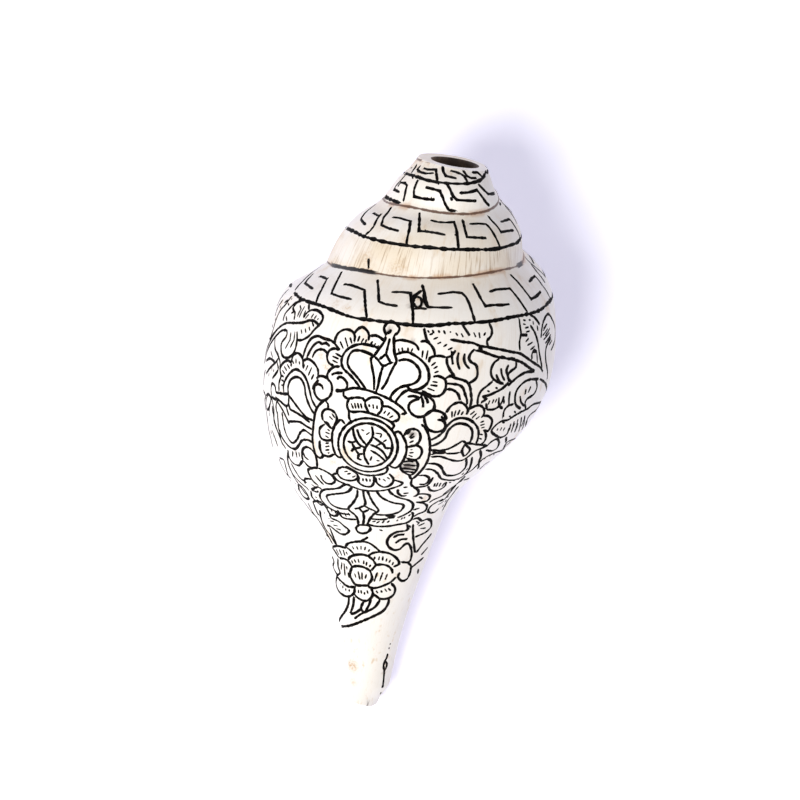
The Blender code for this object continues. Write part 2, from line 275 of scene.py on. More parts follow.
# Strokes of the engraving by group, seen from the camera: one stroke a line, its points in order.
LINES = {}
TICKS = {}

LINES["band lines"] = """
405,173 415,176 425,179.5 437,182 452,183.5 467,183.5 475,182 481,179.5 485,174 486,170
385,196 392,200 400,203 405,205
346.5,227.8 350,229.7 355,232 363,236 373,239 385,242 400,244.5 415,246.5 430,247.5 445,249 460,249.5 \
476,249.5 490,249.5 501,248 511,245 518,242 520,238
328,262.5 336,265 345,268 357,269.5 366,269 371,273 378,275 390,275.5 399,275.5
291,286 294,292 300,298 308,301.5 316,304 325,307 335,311 345,315 356,318 367,319.5 \
378,321 390,322.5 402,324 413,325 427,325.5 440,325 452,323.5 463,323.5 475,322.5 488,321.5 \
500,319.5 512,317 528,314 540,310 547,304 551,298
"""

LINES["fret at the rim"] = """
418,161.5 411.2,173
415.4,161.4 418,161.5
411,168.4 412.4,166.4
424.5,160 417.5,169 419,171.5 426,173.5 434,173
423,168 428,169.5 436,169.5 437.5,181
442.5,166 443.5,172 446,176 451,177 457,178.5
450,170.5 456,172 461,174 464,176 468,183
463,170 467,176 471,178 477,178
472,172.5 477,172 484,179
"""

LINES["fret on the second whorl"] = """
407,173.6 401.3,179.9 395.8,186 394,189.2 396.5,190.8 399.5,192.2
397.5,187 400.5,182.5 405,183 407,185.5 404.8,195 403.2,201.5
418,180 414,190 414,196.5 422,198.5 435,200
425,187 433,189 440,191 443,198 449,210 456,211
447,184 450,189 453,196 457,200 465,200.5 477,201
450.5,197 452.5,201
459,193 468,192.5 477,190 483,198 490,206
478,184 484,190 488,194 495,193
487,187 493,183
499.5,200 500.5,203 498,206
"""

LINES["fret on the third whorl"] = """
377,203 361,219 366,225
373,212.5 379,216
382,213 374,226 370,231 365,235
391.5,206.5 384,217 381.5,225 388,228 399,231
392,217 400,218 406,220 410.5,221 409.5,229 406.5,243
419.5,212 419.5,221 419,231 427,231.5 437,233 446,235
430,220 438,222 446,222.5 454,222 456.5,230 458.5,248
460.5,214 463,221 465,230 467,237 475,237.5 487,238
469,224 478,223.5 486,224 492,231 500,247
485,213 489,217 495,224 501,232 507,231 514,230
500.5,222 505,220.5 509.5,219 514,225 518,232 520,238
505,206 511,213 517,224
"""

LINES["fret on the body"] = """
324,263.5 312,272.5 303,281 295,290.5
321,264 314.5,269 310,273.5
324,263 314,273 305,283 309,286 313,289
319,276 323,277 327,279 329,277
327,279 322,289 316,303
342,271 337,281 331.5,293.5 338,296 346,298 352,299.5
343,284 351,285 358,287.5 364.5,290 365,299 367,318
377.5,279 378.5,290 379,301.5 385,304 391,305 398,306
391,292 402,292 410.5,293 411.5,302 413,312 413,324
422,284 424,291 426,300 428,307 440,307.5 453,307.5
437,294 446,293 453,292 462,293 466,297 469,303 472,312 475,322
472.5,283 477,291 481,299 485.5,306 493,305 502,305 510,304
489,292 496,289.5 503,289 510,288.5 517,297 524,307 528,313
510,274 517,281 525,291 531,299 536,296.5 541,291
529,282 532,278 535,276 542,285 550,298
531,264 537,272 545,283
368.5,258 368.5,269
"""

LINES["damage in the fret"] = """
412,297 417,294 422,290
424,292 425,299 428,307
413,309 420,308 427,309
414,298.5 417,296.5 420.5,298 422,301.5 421,305.5 418,307.5 415,306 413,302.5 414,298.5
423.5,294 424.5,300 426.5,306 428,308
"""

LINES["crack in the canal"] = """
387.8,653.4 386.6,658 384.9,661 383.5,666 384.3,671 384,675 383.4,682 382.1,688.5
385.2,661 387,664 385.8,668.6 384.4,671
"""

TICKS["crack in the canal"] = """
390.5,643 390.1,645
389.3,647.2 388.9,649.4
381,692 380.2,694.5
"""

LINES["upper vajra head"] = """
386,335 384,328 387,323.5 391,321 396,323.5 399.5,328 398,332.5 394,335.5
387,333 390,332 391,329
386,336 384,342 379,349 374,356
394,336 394,345 394.5,353 396.5,361 394,366 390,374 386,383 381,390
390,338 388,346 386,354
379,359.5 383,356.5 386,354.5 388,358 391,363
374,356 378,360 383,366 388,364 393,362
383,366 380,376 378,386 376,392
374,356 371,358.5 372,367 374,378 374,390
379,348 373,346 362,344 352,346.5 345,352 341.5,360 343,368 350,375 356,382 361,389
374,356 368,353 360,350.5 353,351 349,356 347.5,363 350,369 357,377 363,385 367,391
395,355 400,353 407,352 414,355 421,360 427,367 429,375 428,382 423,387 416,390 410,389.5 407,386
398,361 404,359.5 411,361 417,366 420,372 419,379 414,383.5 407,385.5 401,387 395,391 391,396 390,400
410,389.5 404,392 399,397 396,401
"""

LINES["scallops round the upper head"] = """
335,345 335,340 338,333.5 343,330 348,329.5 353,332 355,337 354,342
354,334 357,330 362,327 367,330.5 369,335 368.5,341
370,336 376,335.5 381,338 384,341
394,341.5 400,340 407,341 413,343 417,346 419,351
420,342 425,341 430,344 434,350 435,356
435,356 430,358 429,363
435,356 441,356 446,357.5
433,377 438,376 445,379.5 446,386 444,392 439,396 432,396 427,393.5 422,391
334,366 329,363 327,357 329,351 334,348.5 340,350
"""

TICKS["scallops round the upper head"] = """
340,341 343.5,349
345,337 348,347
350,337 352,344
360,335.5 357.5,342
364,338 361,343
367,339 365,343
373,341 370,345
376,343 373,347
379,345 376,349
398.5,348 399,352
402,347 403,353
408,347 408,353
413,348 411,352
423,350 422,358
428,350 426,360
436,362 431,366
438,366 433,369
439,371 434,373
432,381.5 438,382.5
430,385 438,386
427,388 435,391
335,353 342,357
332,356 339,359
332,360 338,363
"""

LINES["medallion"] = """
353,429 354,435 356.5,441 361,446 366,447.5
357,429 359,435 362,440 366,444.5
372,427 373,434 371,440 366.5,446 364,452 365,458 369,465
370,444.5 377,447.5 383,452 388,460
370,450 377,454 382,458 385,461
374,437.5 380,442 384,445 385.5,448 392,448
347,441 352,442.5 356,441
352,443 355,448 361,447.5
354,448 351,452
355,449 359,454 363,453.5
359,454 358,458.5 362,460
"""

TICKS["burrs on the frets"] = """
427,199 427.3,196.8
431.3,199.5 431.3,196.5
433.5,199.5 434,197.5
412.5,176 413,179
420.5,177.5 419.5,175.5
438,183 439,185
425,231.5 425.4,229
455,236 455.6,233.6
"""

TICKS["medallion"] = """
361,429.5 364.5,431
370,432 366,435
375,433 382,434
382,434 380,438
376,446 381,443.5
383,442 387,439.5
372,456 370,461
376,460.5 380,461
"""

LINES["upper collar"] = """
335,390 345,390 353,388 362,389 370,391 378,394 386,397.5 394,402 401,407 406,413 401,414
344,391 343.5,395.5 348,399
349,398.5 357,397.5 363,398.5 365,401 371,397.5 379,398 382,402 382,406.5
349,399 347,404 348.5,410 353,412 360,411.5 367,412.5 375,415 383,418 391,422 394,426 392,429
365,401 365.5,406 368,411
382,406.5 388,406.5 394,410 399,415 398,420 391,422
382,406.5 381,411 377,415
349,412 349,417 350,420
"""

TICKS["upper collar"] = """
351,403 353.5,409
354.5,402.5 356,409
357.5,402.5 359,409
360.5,403 362,409
369,403.5 369.5,407.5
373,404 373.5,409
377,405 377,409.5
386,410.5 383.5,414
390,412 387,416
393.5,415.5 389,418
"""

LINES["left collar"] = """
325,400 320,404 316,410 314,420 313,430 312.5,440 314,449 316,455 320,458 323,456 321,451 320,446 320,441
323,421 322,414 325,409.5 330,409.5 335,413 337,419 335,425 332,429
325,400.5 328,404 328,409
325,424 320,428 319.5,434 321.5,438.5 326,440.5 332,440
324,421 332,429
319.5,441 320,449 323,454.5 329,456.5 334,454
341,419 336,424 333,430 332,438 333,447 336,455 340,457.5 343,456
341,419 345,424
"""

TICKS["left collar"] = """
331.5,413 335,418
329,416 333,420
326,421 330,425
327,429 330,431
325,432 330,434
325,435.5 329,438
325,443.5 329,443
325,447 329.5,446
325,450.5 329.5,449.5
327.5,453.5 329.5,452.5
"""

LINES["right collar"] = """
393,434 398,431.5 402,435 406,443 406.5,451 404,459 400,465 395,468 390,466
404,436 407,431 412,429 418,430.5 420.5,436 419,442 414,446 407,447
407,447.5 414,445.5 420,447 422,452 419,458 413,460 406,458
407,459 415,460 418,465 416,471 411,475 405,473 401,469 400,464
421,424 426,429 429,437 430,447 429,456 426,464 420,472 412,479 409,474.5
"""

TICKS["right collar"] = """
414,433 409,438
415,436 410,439
414,440.5 409,443
413,449.5 410,450
414,452.5 409,453
408,455 413,457
"""

LINES["blackened tooth"] = """
404,462 409,461 414,462
403,465 409,465 416,466
402,468 409,469 416,470
405,471.5 410,472 414,472.5
406,432 411,431
406,434 409,433
"""

LINES["lower collar"] = """
346,466 353,470 361,474 369,475.5 378,475 386,472.5 388,467
337,473 338,469 343,467 349,469 356,473 358,477 355,480 348,480.5 341,478 337,473
359,476 358.5,482 364,486 371,486.5 374,482 374,476
375,477 377,483 383,487 389,486 393,482 393,478 389,473.5
332,474 337,480 344,483.5 353,487 362,490 372,491 383,490.5 393,488 401,485 402,482.5 394,480
337,473 333,474.5
"""

TICKS["lower collar"] = """
344,472 348,471
347,474.5 351,473
352,477.5 356,475.5
363,478 363,481.5
366,478 367,482
370,478.5 370,482
379,478 380,480.5
383,479 386,481.5
387,477 390,479.5
"""

LINES["lower vajra head"] = """
357.5,490 357,496 353,503 348.5,509 355,515 358,520 358,525
367,490 370,497 374,504 378.5,510.5 374,514 370,519 367,525
363,490 364,497 365.5,503 364,506
354,509 359,508 364,506 369,508.5 375,511
359,508 363,512 369,509.5
363,512 364,518 363,525
359,525 356,528 358,532 363,533.5 368,532 370.5,529 369,526 364,525 359,525
350,484.5 344,485 339,488 332,489 325,489.5 321,492 320,497 323,502 328,507 335,511 342,513.5 350,514.5
352,487 349,491 344,493 335,494 327,495.5 327.5,499 331,504 337,507.5 344,509 349,509
376,490 380,496 386,500 394,503 403,504.5 403,508 399,512 391,514.5 383,515 376,514.5
388,489 392,494 400,498 408,500 413,504 411.5,510 405,514.5 397,518
385,516 396,516
387,518 395,517.5
372,519 380,519.5 388,519
368,524 374,526 382,526.5 390,526 398,524.5 406,523 411,520 413,515 412,512
339,512 342,517 348,519 357,519.5
"""

TICKS["lower vajra head"] = """
372,522 376,521
376,523.5 380,521
382,523.5 384.5,520.5
387,523 389.5,520.5
396.5,521.5 398,519.5
401,520 402.5,517.5
404,519 405,516.5
408.5,516.5 410,514.5
344,512.5 346.5,517
348,512.5 350,516
"""

LINES["left vajra head"] = """
284,394 283.5,385 287,377 292,371 297,369.5 303,374 307,381 309.5,390 312,400 317,409
288.5,395 288,387 290.5,380 296,377 301,379 304.5,386 305.5,394 307.5,401 311,409 315.5,415.5
288.5,395 293,401 299,409 306,417 313,420.5
279,393 284,394 288.5,395 288.5,406
275,397 280,401 286,406 289,404.5 290,409 296,412.5 303,417 310,422.5
286,406 289,416
276,399 282,409 286,417 289.5,424.5
289,421.5 296,421.5 301,422.5 306,426 312.5,429.5
282,412 283,420 284.5,429 288,438 292.5,443 297,439.5 300,433 304,430 308,432.5 312.5,436
277.5,412 278,421 279,430 283,439 289,446.5 295,449 299,445 302,440.5 308,440 313,443
272,397 271,390 272,383.5 275,386 276,392 279,393
277,399 276,407 277,413
"""

LINES["scallops round the left head"] = """
279,391 279,383 281,376 280,369 283,363 288,360.5 291,363 291,367
291,363 293,356 297,353 301,355.5 303,361 303,368
303,361 308,359 314,363 318,370 318,377
"""

TICKS["scallops round the left head"] = """
284,366 287,371
287,364 290,369
282,370 285,374
281,375 284,377
281,380 284,381
281,385 284,385.5
292,360 294,364
296,358 296,364
299,361 300,365
305,364 303,369
308,365 305.5,371
312,367 308,376
314,374 311,380
"""

LINES["right vajra head"] = """
431,440 437,437 443,432 448,425 454,420 461,418 469,419.5 475.5,424.5 478.5,431 478,438 476,444
432,446 439,443 445,438 448,431 453,426 459,423.5 467,425 472,430 472,437 470,442 466,443 463,440.5
432,450 440,450.5 448,449 456,445 463,440.5
431,455 436,453 446,451
432,452 440,453.5 446,452.5
431,457 440,456.5 448,459 456,461 463,460 469,456 475,451 481,448.5 487,446
446,453.5 454,453.5 460,452.5
466,443 462,450.5 464,457
466,445 470,450 465,456
466,443 473,444 481,445 487,446
428,463.5 436,464 441,467 443.5,472 446,475 453,475.5 460,473 465,468 466.5,463 466,459
426,469 433,470 438,474 441,478.5 447,480 454,480 462,477 468,471 471,464 472,457
480,450 481,456 479,462 478,469
"""

LINES["scallops round the right head"] = """
446,413 450,407 455,403.5 461,402.5 466,406 468,411 466,415
469,409.5 474,406.5 480,405.5 484,409 484,414 481,418
482,416 488,416 492,420 491,426 488,431 483,430
485,431 486,437 484,442 479,446
"""

TICKS["scallops round the right head"] = """
452,411 452,418
456,410 454,417
460,409.5 457.5,415.5
463.5,411 461,415.5
475,411 470,415
477,413 472,418
480,416 475.5,419.5
484.5,421 480,422.5
485,424 480,425.5
485,427 481,428
480,434 483,435
479,438 482,439.5
"""

LINES["curls right of the upper head"] = """
407,390 413,391.5 421,393.5 429,397 434,402 434,408 430,412 424,416 418,417 412,414 \
408.5,408 410,403 415,400 420,399
421,396 423,402 423,408
424,396 427,399.5 428,404
407,397 413,396 420,398
424,416 431,411 438,411 444,414 447,420
424,416 425,423 429,429.5 435,432 441,431 445,427 444,422 441,420 437,420
441,416 444,420 446,425
434,402 435,409
445,379 450,376 455,378 461,379.5 467,382 470,387 471,394 471.5,400 470,407 468,411
447,383.5 453,384 459,385 463,388 465,394 467,400 467,405
447,389 453,390 458,394 460,400
446,357.5 451,356 456,350
447,357 447,363 450,370 455,377
452,351 452,358 453,365
459,352 457.5,358 458,364 460,370
465,353 464,359 466,365 470,369
475,349 471,353 469,358 471,362 476,365 477.5,371 477,377 473,381 469,383
"""

LINES["twig on the right"] = """
450,339.5 456,340.5 464,342 473,343 480,346 487,347 495,348.5 503,350 512,352 520,353.5 \
527,358 534,363 540,367 543,372
475,350.5 482,351.5 490,354.5 498,357 507,358.5 515,360 522,362.5 529,367.5 535,371.5
424,328 425,333 427,340 430,344
462,324 466,330 470,336
489,323 492,330 491,336 487,341 488,346
519,318 520,326 521,334 519.5,342 520,351
521,335 528,335
529,314 535,318 540,325
530,325 535,333 538,343 539.5,354 542,368
537,352 534,350 532,354 532,360
541,338 542,328 544,320 548,314 552,319 555,328 555,338 553,346 551,350
551,338 547,345 545.5,353 546,362 547.5,372 547,380
"""

TICKS["twig on the right"] = """
427.5,330 429.5,333
432,329.5 434.5,333.5
438,330 440,333
443.5,330 445.5,334.5
429,335 433,333.5
433,339.5 438.5,337
437,344 441.5,342
443,347 447.5,344
447.5,350 453,347.5
450,331 451,333
455.5,332.5 458,336
461,333 463.5,337.5
473.5,332 476,337.5
479,332 480,338.5
486,332 483.5,336
523,320 526,320.5
523,324 526,324.5
525,328 529,327
526,332 530,331
533,321 533.5,325
537,325 538,331
528.5,320 531,320
529,338 525.5,342
533,342 527,345.5
535,346 530,350
547,324 543,331
550,328 545,336
551,334 546.5,341
552,340 549,345
"""

LINES["leaves on the right"] = """
499,359 494,363 491,370 492,377 497,381.5 504,384
516,361 516,367 511,371 508,375 509,380 512,382
509,364.5 506.5,370 508,378
501,368 502,375 505,381
496,374 498,379 501,383
493,381 487,386 481,391 478,398 477.5,405
508,383 503,388 496,392 488,395.5 482,396.5
482,396.5 486,399 481,402.5
499,397 499,405 503,409
486,409.5 493,409.5 498,407 502,402 504,396
486,403 487,410
535,371.5 527,372 519,376 512,382 508,386
539,379 530,379.5 523,383 517,390 515,398 516,405 521,409
540,379 545,383 546.5,390 545,395
536,380 537,387 534,394 527,399 525,404 526,409
520,396 521,402 524,406
526,389 525,395
531,386 528,393
510,391 509,399 509,404
514,404 508,406 504,411 503,418
541,402 534,404 528,408.5 521,412 514,416 508,420 502,421 496,425 491.5,431 495,435 501,437.5 507,434 509,428
541,402 537,409 531,414 527,420 525,427
525,428 521,434 516,438 509,441 505,445 503,450
487,446 491,442 497,439 499,443 497,448 492,451 486,450
506,437 506,442
503,450 497,452 490,455 483,459 478,464 472,470 464,475
497,458 490,461 484,465 479,470
"""

TICKS["leaves on the right"] = """
487,390.5 490,392
495,387.5 498,388.5
490,400 488,405
494,399 492,404
497,398.5 495,403
504,398 504,404
514,411 516,413
509,416 511,417
502,422 505,423
498,428 497,431
502,427 500,431
505,427 503,431.5
515,423 512,430
518,423 515,432
521,422 519,430
524,419 521,427
484,459 486,458
489,456.5 491,455.5
493,455 495,454
"""

LINES["curls left of the upper head"] = """
340,366.5 334,367 329,371 327,377 330,382
337,380 339,377 343,378 347,383 346.5,388.5 341,391 335,391
331,375 336,373 343,373
316,379 320,376 326,377.5 331,383 332,390 330,396 325,400 320,400 316,396 \
314,390 315,385.5 318,384 322,386 323,390
319,380 314.5,384 312.5,390
303,357 305,350 308,343 312,338 318,336 324,338.5 331,340.5 335,344 340,350
307,357 311,349 315,344 319,342 322,344 326,343 330,346.5
312,358 315,352 319,349.5 324,350 328,354
"""

LINES["leaf at the upper left"] = """
269,340 275,332 281,326 287,323 295,323 303,322.5 309,320.5 314,321 318,324
294,320 295,313 293,308 297,303 302,301
291,313 294,312
309,303 309,310
303,318 309,311 316,310 321,313 323,318 320,324 314,330 309,336 302,340 297,340
297,331 297,340 295,350 291,356 286,358 282,355 281,348 282,342 286,337 287,331 282,330.5 276,336 271,343 \
267,352 265,362
275,338 275,348 278,355 280,362 280,369
276,400 272,397
284,303 288,300
303,299 295,303 290,308 285,314 283,321
"""

TICKS["leaf at the upper left"] = """
300,305 301,309 297,317
305,306 301,313 299,318
306,310 303,318
309,314 305,319
314,313.5 311,318
317,315 314,319
319,318 317,320
301,329 302,334
305,328 306,333
309,326.5 310,331
312,321.5 314,327
291,332 290,340 285,349
295,331 294,340 290,348
286,316 287,321
"""

LINES["left edge scrolls"] = """
292,296 286,304 280,311 276,320 273,330 270,340
283,300 278,307 275,316
266,374 270,368 276,362 279,357
266,361 270,358.5 275,362
277,362 278,370 272,379
266,396 268,394 271,397 273,404 274,412 274,421 277,430 281,437
270,404 269,412
280,430 281,440 286,449
263,390 268,390
272,430 275,438 278,447
"""

LINES["curls at the lower left"] = """
303,461 302,455 303,449 307,447 312,450 315.5,456 317,462 317,468
303,452 305,457 309,460
288,450 289,457 293,463 299,465.5 303,461 308,466 313,468 318,468
318,468 325,471 331,475 335,481 331,484 326,483 322,479 321,475
313,468 308,470 310,476 313,481 318,485
315,475 320,481 324,485
317,467 309,469
288,452 288,462 291,471 296,478 302,484 307,488 309,491
291,463 296,472 301,479 305,481
305,484 305,479 311,479
302,479 307,483
311,490 318,487 322,490
290,468 294,477 300,486 305,493 309,498 306,499 301,494
311,491 312,497 316,501 321,505 324,504
311,490 317,492 318,491
313,502 317,501 323,504 327,509 330,514 335,516 338,514 338,510
313,502 316,510 319,516
320,510 321,518 324,526 328,533
308,503 312,511 316,517
330,514 331,518 338,521 344,526 349,530.5 346,534 341,534 335,530 330,526 327,526
330,528 333,536 337,546
329,533 336,545
"""

TICKS["curls at the lower left"] = """
293,451 292.5,457
296,451 297,458
299,452 299.5,457
315,497 317,497.5
317,500 319,500.5
320,501 322,502
327,507 328,509
331,509 332,512
335,511 336,514
324,512 325,514
328,518 330,519
330,521 334,521.5
333,525 338,526
336,528.5 341,530
311,484 315,487
313,482 319,486
"""

LINES["curls at the lower right"] = """
419,475.5 425,475.5 429,478 428,482 424,484.5 419,484
412,479 411,484 414,487 420,487 427,485.5 431,481 433,477
428,486 430,490 435,491 441,489 445,486 446,482
413,487 418,490 418,494 413,497
398,489 398,493 402,496 407,495.5
403,493.5 409,493
403,487.5 408,487
414,497 420,494 428,494.5 430,497 427,501 421,501.5
419,496.5 423,499
416,502 423,503 427,506 425,511 418,514 413,517
413,510 420,508
454,487 447,493 440,497 433,500 429,503
463,478 457,484 450,489 443,495
470,478 464,480
430,513 428,511 431,506 437,502 443,499
430,513 435,512 439,508
"""

TICKS["curls at the lower right"] = """
435,483 434,487
438,482.5 436,487
441,482.5 439,487
444,483 442,487
449,482 451,483
453,480 455,481
457,478.5 459,479.5
438,505 444,501
444,508 446,503
446,492 450,489
"""

LINES["curls above the lotus on the right"] = """
415,537 421,534.5 426,532 431,527 431,521 427,519 422,521 418,518 414,519
413,524 413,534 414,545 415,553
416,553 422,545 428,538 432,533
405,531 408,529 407,524
405,531 397,532 390,536 387,542 389,547 394,550 400,549 404,545 408,543.5 411,548 411.5,556 409,562 401,562
393,538 398,535 405,534.5
395,543.5 401,539.5 408,539
411,568 417,563 424,557
421,555 428,547
400,572 398,577 402,581 407,579 410,573 411,566 408,563
418,569 418,574
"""

TICKS["curls above the lotus on the right"] = """
425,523 418,526
426,528 420,528.5
416,521 419,523
379,529.5 383,531
409,525 411,528
420,522 417,525
"""

LINES["lotus"] = """
345,547 348,543.5 354,542 362,541.5 369,543 375,547 380,551.5
361,541 365,539 368,537
346,547 350,550 354,554
332,547 338,546 346,548
332,547 336,553 339,558
339,558 345,559 349,562 352,567
348,560 350,557 355,555 362,554.5 368,556
368,556 373,560 376,565
368,556 373,553 380,552 388,553 394,556 398,560 399,564 393,567
352,567 357,566 363,567 369,570 371,573
376,565 382,564.5 388,566 392,570 392.5,574
376,565 371,571
352,567 350,574 352,580 356,585 362,585.5 368,585.5
371,573 372,579 368,585.5 372,588 378,587.5 385,585 391,582 396,577
338,559 338,566 340,573 337,576 342,582 348,586.5 356,587
337,576 336,583 338,590 343,595 349,596.5 354,593 355,587.5
355,587.5 354,593 358,598 365,601 370,599 373,594 371,588
391,583 395,588 394,594 389,598 381,599 376,596 373,594
349,597 348,605 344,613 339,622
354,597 353,606 350,614
350,614 355,613 361,609
364,601 361,608 364,613
371,599 369,605 365,612
380,600 375,607 368,611 361,614 354,619
389,598 388,604 383,611 374,616 365,620 355,624 348,626 341,626.5
332,556 334,562 333,566 335,571 338,576
"""

TICKS["lotus"] = """
352,546 354,549.5
356.5,546 358,550
361,545.5 361,550
365.5,546.5 364.5,550.5
370,549 368,552
336,549 339,555
339,549 342,556
343,549.5 345,556
346,551.5 347.5,555
351.5,560 353,564
354,559 356,563
358,558.5 359,563
364,560 363.5,564.5
367,561.5 366,566
371,564.5 369,567.5
375,556.5 374,560
379.5,556 378.5,560.5
383,556 382.5,561
387,558 386,562
390.5,559.5 389,563
393.5,562 392,565.5
354.5,573 356,578
358,571 360,580
362,572 362,580
366.5,574 365,579
377.5,572 374,582
383,572 379.5,581.5
387.5,573.5 385,580
342,562 341,570
344,563 345,576
346.5,566 347,570
348,572 349,578
358.5,589.5 358.5,593.5
361,590 361.5,594
364.5,592 364.5,595
367,590 368,594
376,590.5 378,593.5
381,590 382,593
384.5,588.5 387,592
388,588 391,591
338.5,580 340,581
340,583 341,584
343,586 342.5,588.5
346,588 345.5,591
349.5,589 349,592
"""

LINES["scrolls at the left limb"] = """
289,289 281,298 276.7,306.7
277,330 270.6,340 267.2,347.8 265.4,355.6 264.4,364.4
265.4,370 264,378 263.7,386
263.4,390 265.4,395.6 264.8,401 266.4,412 267.6,421 268.8,430 271,439 273,448
266.6,397 268.5,394.4 270.8,399 269.6,405.6 267.4,410 266,403.3 266.6,397
272.2,405.6 273.2,414.4 276.4,427.8 279.2,435.6 283.4,446
279.3,459 281.6,465.6 286,473.3 290.5,478
279.3,457.8 283.7,460 286,467.8 288.2,475.6
298.3,484.4 299.4,490 302.6,495.6 308,499 308,495.6 303.8,489 299.4,484.4
294.2,488 299.6,496.7 305,503.3 310.6,511 316.2,516.7
317.2,518 322.8,526.7 327.2,534.4 332.8,544.4
"""

LINES["scrolls at the right limb"] = """
458.4,486.3 454.6,491.3 450.9,496.3 447.1,501.3 444.6,506.3 442.1,511.3
456.3,485 450,492.5 445,498.8 440,501.3
465,476.3 461,481.3 456.3,483.8
501.5,451.5 505,446.5 511,441.5
"""

TICKS["hatching on the right"] = """
531,357.5 532.5,352.5 536.7,351.7 537.5,363.3
542.5,335.8 547.8,328.5
543.3,340 549.6,332.4
545,343.3 551,336.6
543.3,328.5 547.3,323.6
485,352 493,355.2
501,356 506,357.6
510,357.6 515.6,358.6
478,347.6 481.8,349.4 481,351.6 477.6,349.6
524.6,415.5 521.8,430
521.4,417 518.3,432
518,418.8 514.4,432.6
514.2,421 511,432.8
510.8,423.5 509.2,431
484,444 487.4,446 484.4,447.4
"""

TICKS["dots at the left limb"] = """
273,324 272,328
276,317.5 275,321
281,305.5 280,308.5
279,313 277.5,316
288,303 289.2,305.5
291,300 292.2,297.8
270.8,351 272.8,358
271.9,366.7 271.9,371
274,369 273.4,372.4
267.6,370 267,374.4
269.2,372.2 268.6,376.7
269.8,412 269.8,416.7
271.9,423.3 272.6,426.7
271,430 271.4,434.4
273.6,434.4 274.2,437.8
297.9,488 299.1,490.7
300.8,492.4 302,494.8
294.8,482.2 296,484.8
289.6,479 290.8,482
326.2,534.4 327.4,537
325,537.8 325.8,540
"""

TICKS["dots at the right limb"] = """
443.6,504.5 441.9,507.5
452.3,489.8 450.8,492.4
448.9,495.4 447.3,498
446.3,499.8 444.9,502.4
463.8,472.5 461.9,475.2
468,468 466,470.6
471,465.6 469,468
"""



def smooth(value):
    value = np.clip(value, 0.0, 1.0)
    return value * value * (3.0 - 2.0 * value)


def section_cage(turn):
    """Control points of the section at a turn: each coordinate grows by a steady ratio per turn.

    Where the real suture sags below that rule, the first points are dropped.
    """
    turn = np.asarray(turn, float)
    share = ((turn - TURN_RIGHT) / (TURN_LEFT - TURN_RIGHT))[..., None, None]
    cage = SECTION_LEFT ** share * SECTION_RIGHT ** (1.0 - share)
    for at_turn, half_turns, drop in SUTURE_DROPS:
        near = smooth(1.0 - np.abs(turn - at_turn) / half_turns)
        cage[..., :3, 1] += drop * near[..., None] * DROP_SHARES
    return cage


def raw_section(turn, place):
    """Clamped uniform cubic B-spline of the cage, as radius and depth."""
    turn, place = np.broadcast_arrays(np.asarray(turn, float), np.asarray(place, float))
    cage = section_cage(turn)
    first = 2.0 * cage[..., :1, :] - cage[..., 1:2, :]
    last = 2.0 * cage[..., -1:, :] - cage[..., -2:-1, :]
    cage = np.concatenate([first, cage, last], axis=-2)
    place = np.clip(place, 0.0, SPANS)
    span = np.minimum(place.astype(int), SPANS - 1)
    f = place - span
    weights = ((1 - f) ** 3, 3 * f**3 - 6 * f**2 + 4, -3 * f**3 + 3 * f**2 + 3 * f + 1, f**3)
    total = 0.0
    for step, weight in enumerate(weights):
        index = np.broadcast_to((span + step)[..., None, None], span.shape + (1, 2))
        total = total + weight[..., None] / 6.0 * np.take_along_axis(cage, index, axis=-2)[..., 0, :]
    return total


def suture(turn):
    """Radius and depth of the line where a whorl starts on the one before."""
    return section_cage(turn)[..., 0, :]


def covered_table(turns):
    """Place at which the next whorl starts to cover the section, and the gap in radius closed there."""
    places = np.linspace(0.0, SPANS, SPANS * TABLE_STEPS_PER_SPAN + 1)
    depths = raw_section(turns[:, None], places)[..., 1]
    targets = suture(turns + 1.0)[:, 1]
    found = np.array([np.interp(target, row, places) for target, row in zip(targets, depths)])
    gap = suture(turns + 1.0)[:, 0] - raw_section(turns, found)[:, 0]
    return found, gap * (1.0 - smooth((turns - TURN_OPEN) / WELD_END_TURNS))


TABLE_TURNS = np.linspace(-4.6, 0.2, 961)
TABLE_PLACES, TABLE_GAPS = covered_table(TABLE_TURNS)


def covered_place(turn):
    return np.interp(turn, TABLE_TURNS, TABLE_PLACES)


def section(turn, place):
    """The finished section: welded to the next whorl's suture, hollowed at the gutter, its tip cut aslant."""
    turn, place = np.broadcast_arrays(np.asarray(turn, float), np.asarray(place, float))
    points = raw_section(turn, place).copy()
    gap = np.interp(turn, TABLE_TURNS, TABLE_GAPS)
    points[..., 0] += gap * smooth(1.0 - np.abs(place - covered_place(turn)) / WELD_PLACES)
    for at_turn, at_place, half_turns, half_places, rise in SWELLINGS:
        near = smooth(1.0 - np.abs(turn - at_turn) / half_turns)
        points[..., 0] += rise * near * smooth(1.0 - np.abs(place - at_place) / half_places)
    past = turn - TURN_OPEN
    reach = np.where(past >= 0.0, past / GUTTER_TURNS, -past / HOLLOW_CANAL_TURNS)
    share = 1.0 - smooth(reach)
    along = smooth((points[..., 1] - GUTTER_START_DEPTH) / (GUTTER_FULL_DEPTH - GUTTER_START_DEPTH))
    points[..., 0] -= np.maximum(points[..., 0] - GUTTER_FLOOR, 0.0) * share * along
    side = -points[..., 0] * np.sin(2.0 * math.pi * (turn - TURN_UP))
    above, below = TIP_SLANT_DEPTHS
    points[..., 1] += TIP_SLANT * side * smooth((points[..., 1] - above) / (below - above))
    return points


def inward(points):
    """Unit normals of section curves (points along the second last axis), turned towards the axis."""
    tangent = np.gradient(points, axis=-2)
    tangent /= np.linalg.norm(tangent, axis=-1, keepdims=True)
    return np.stack([-tangent[..., 1], tangent[..., 0]], axis=-1)


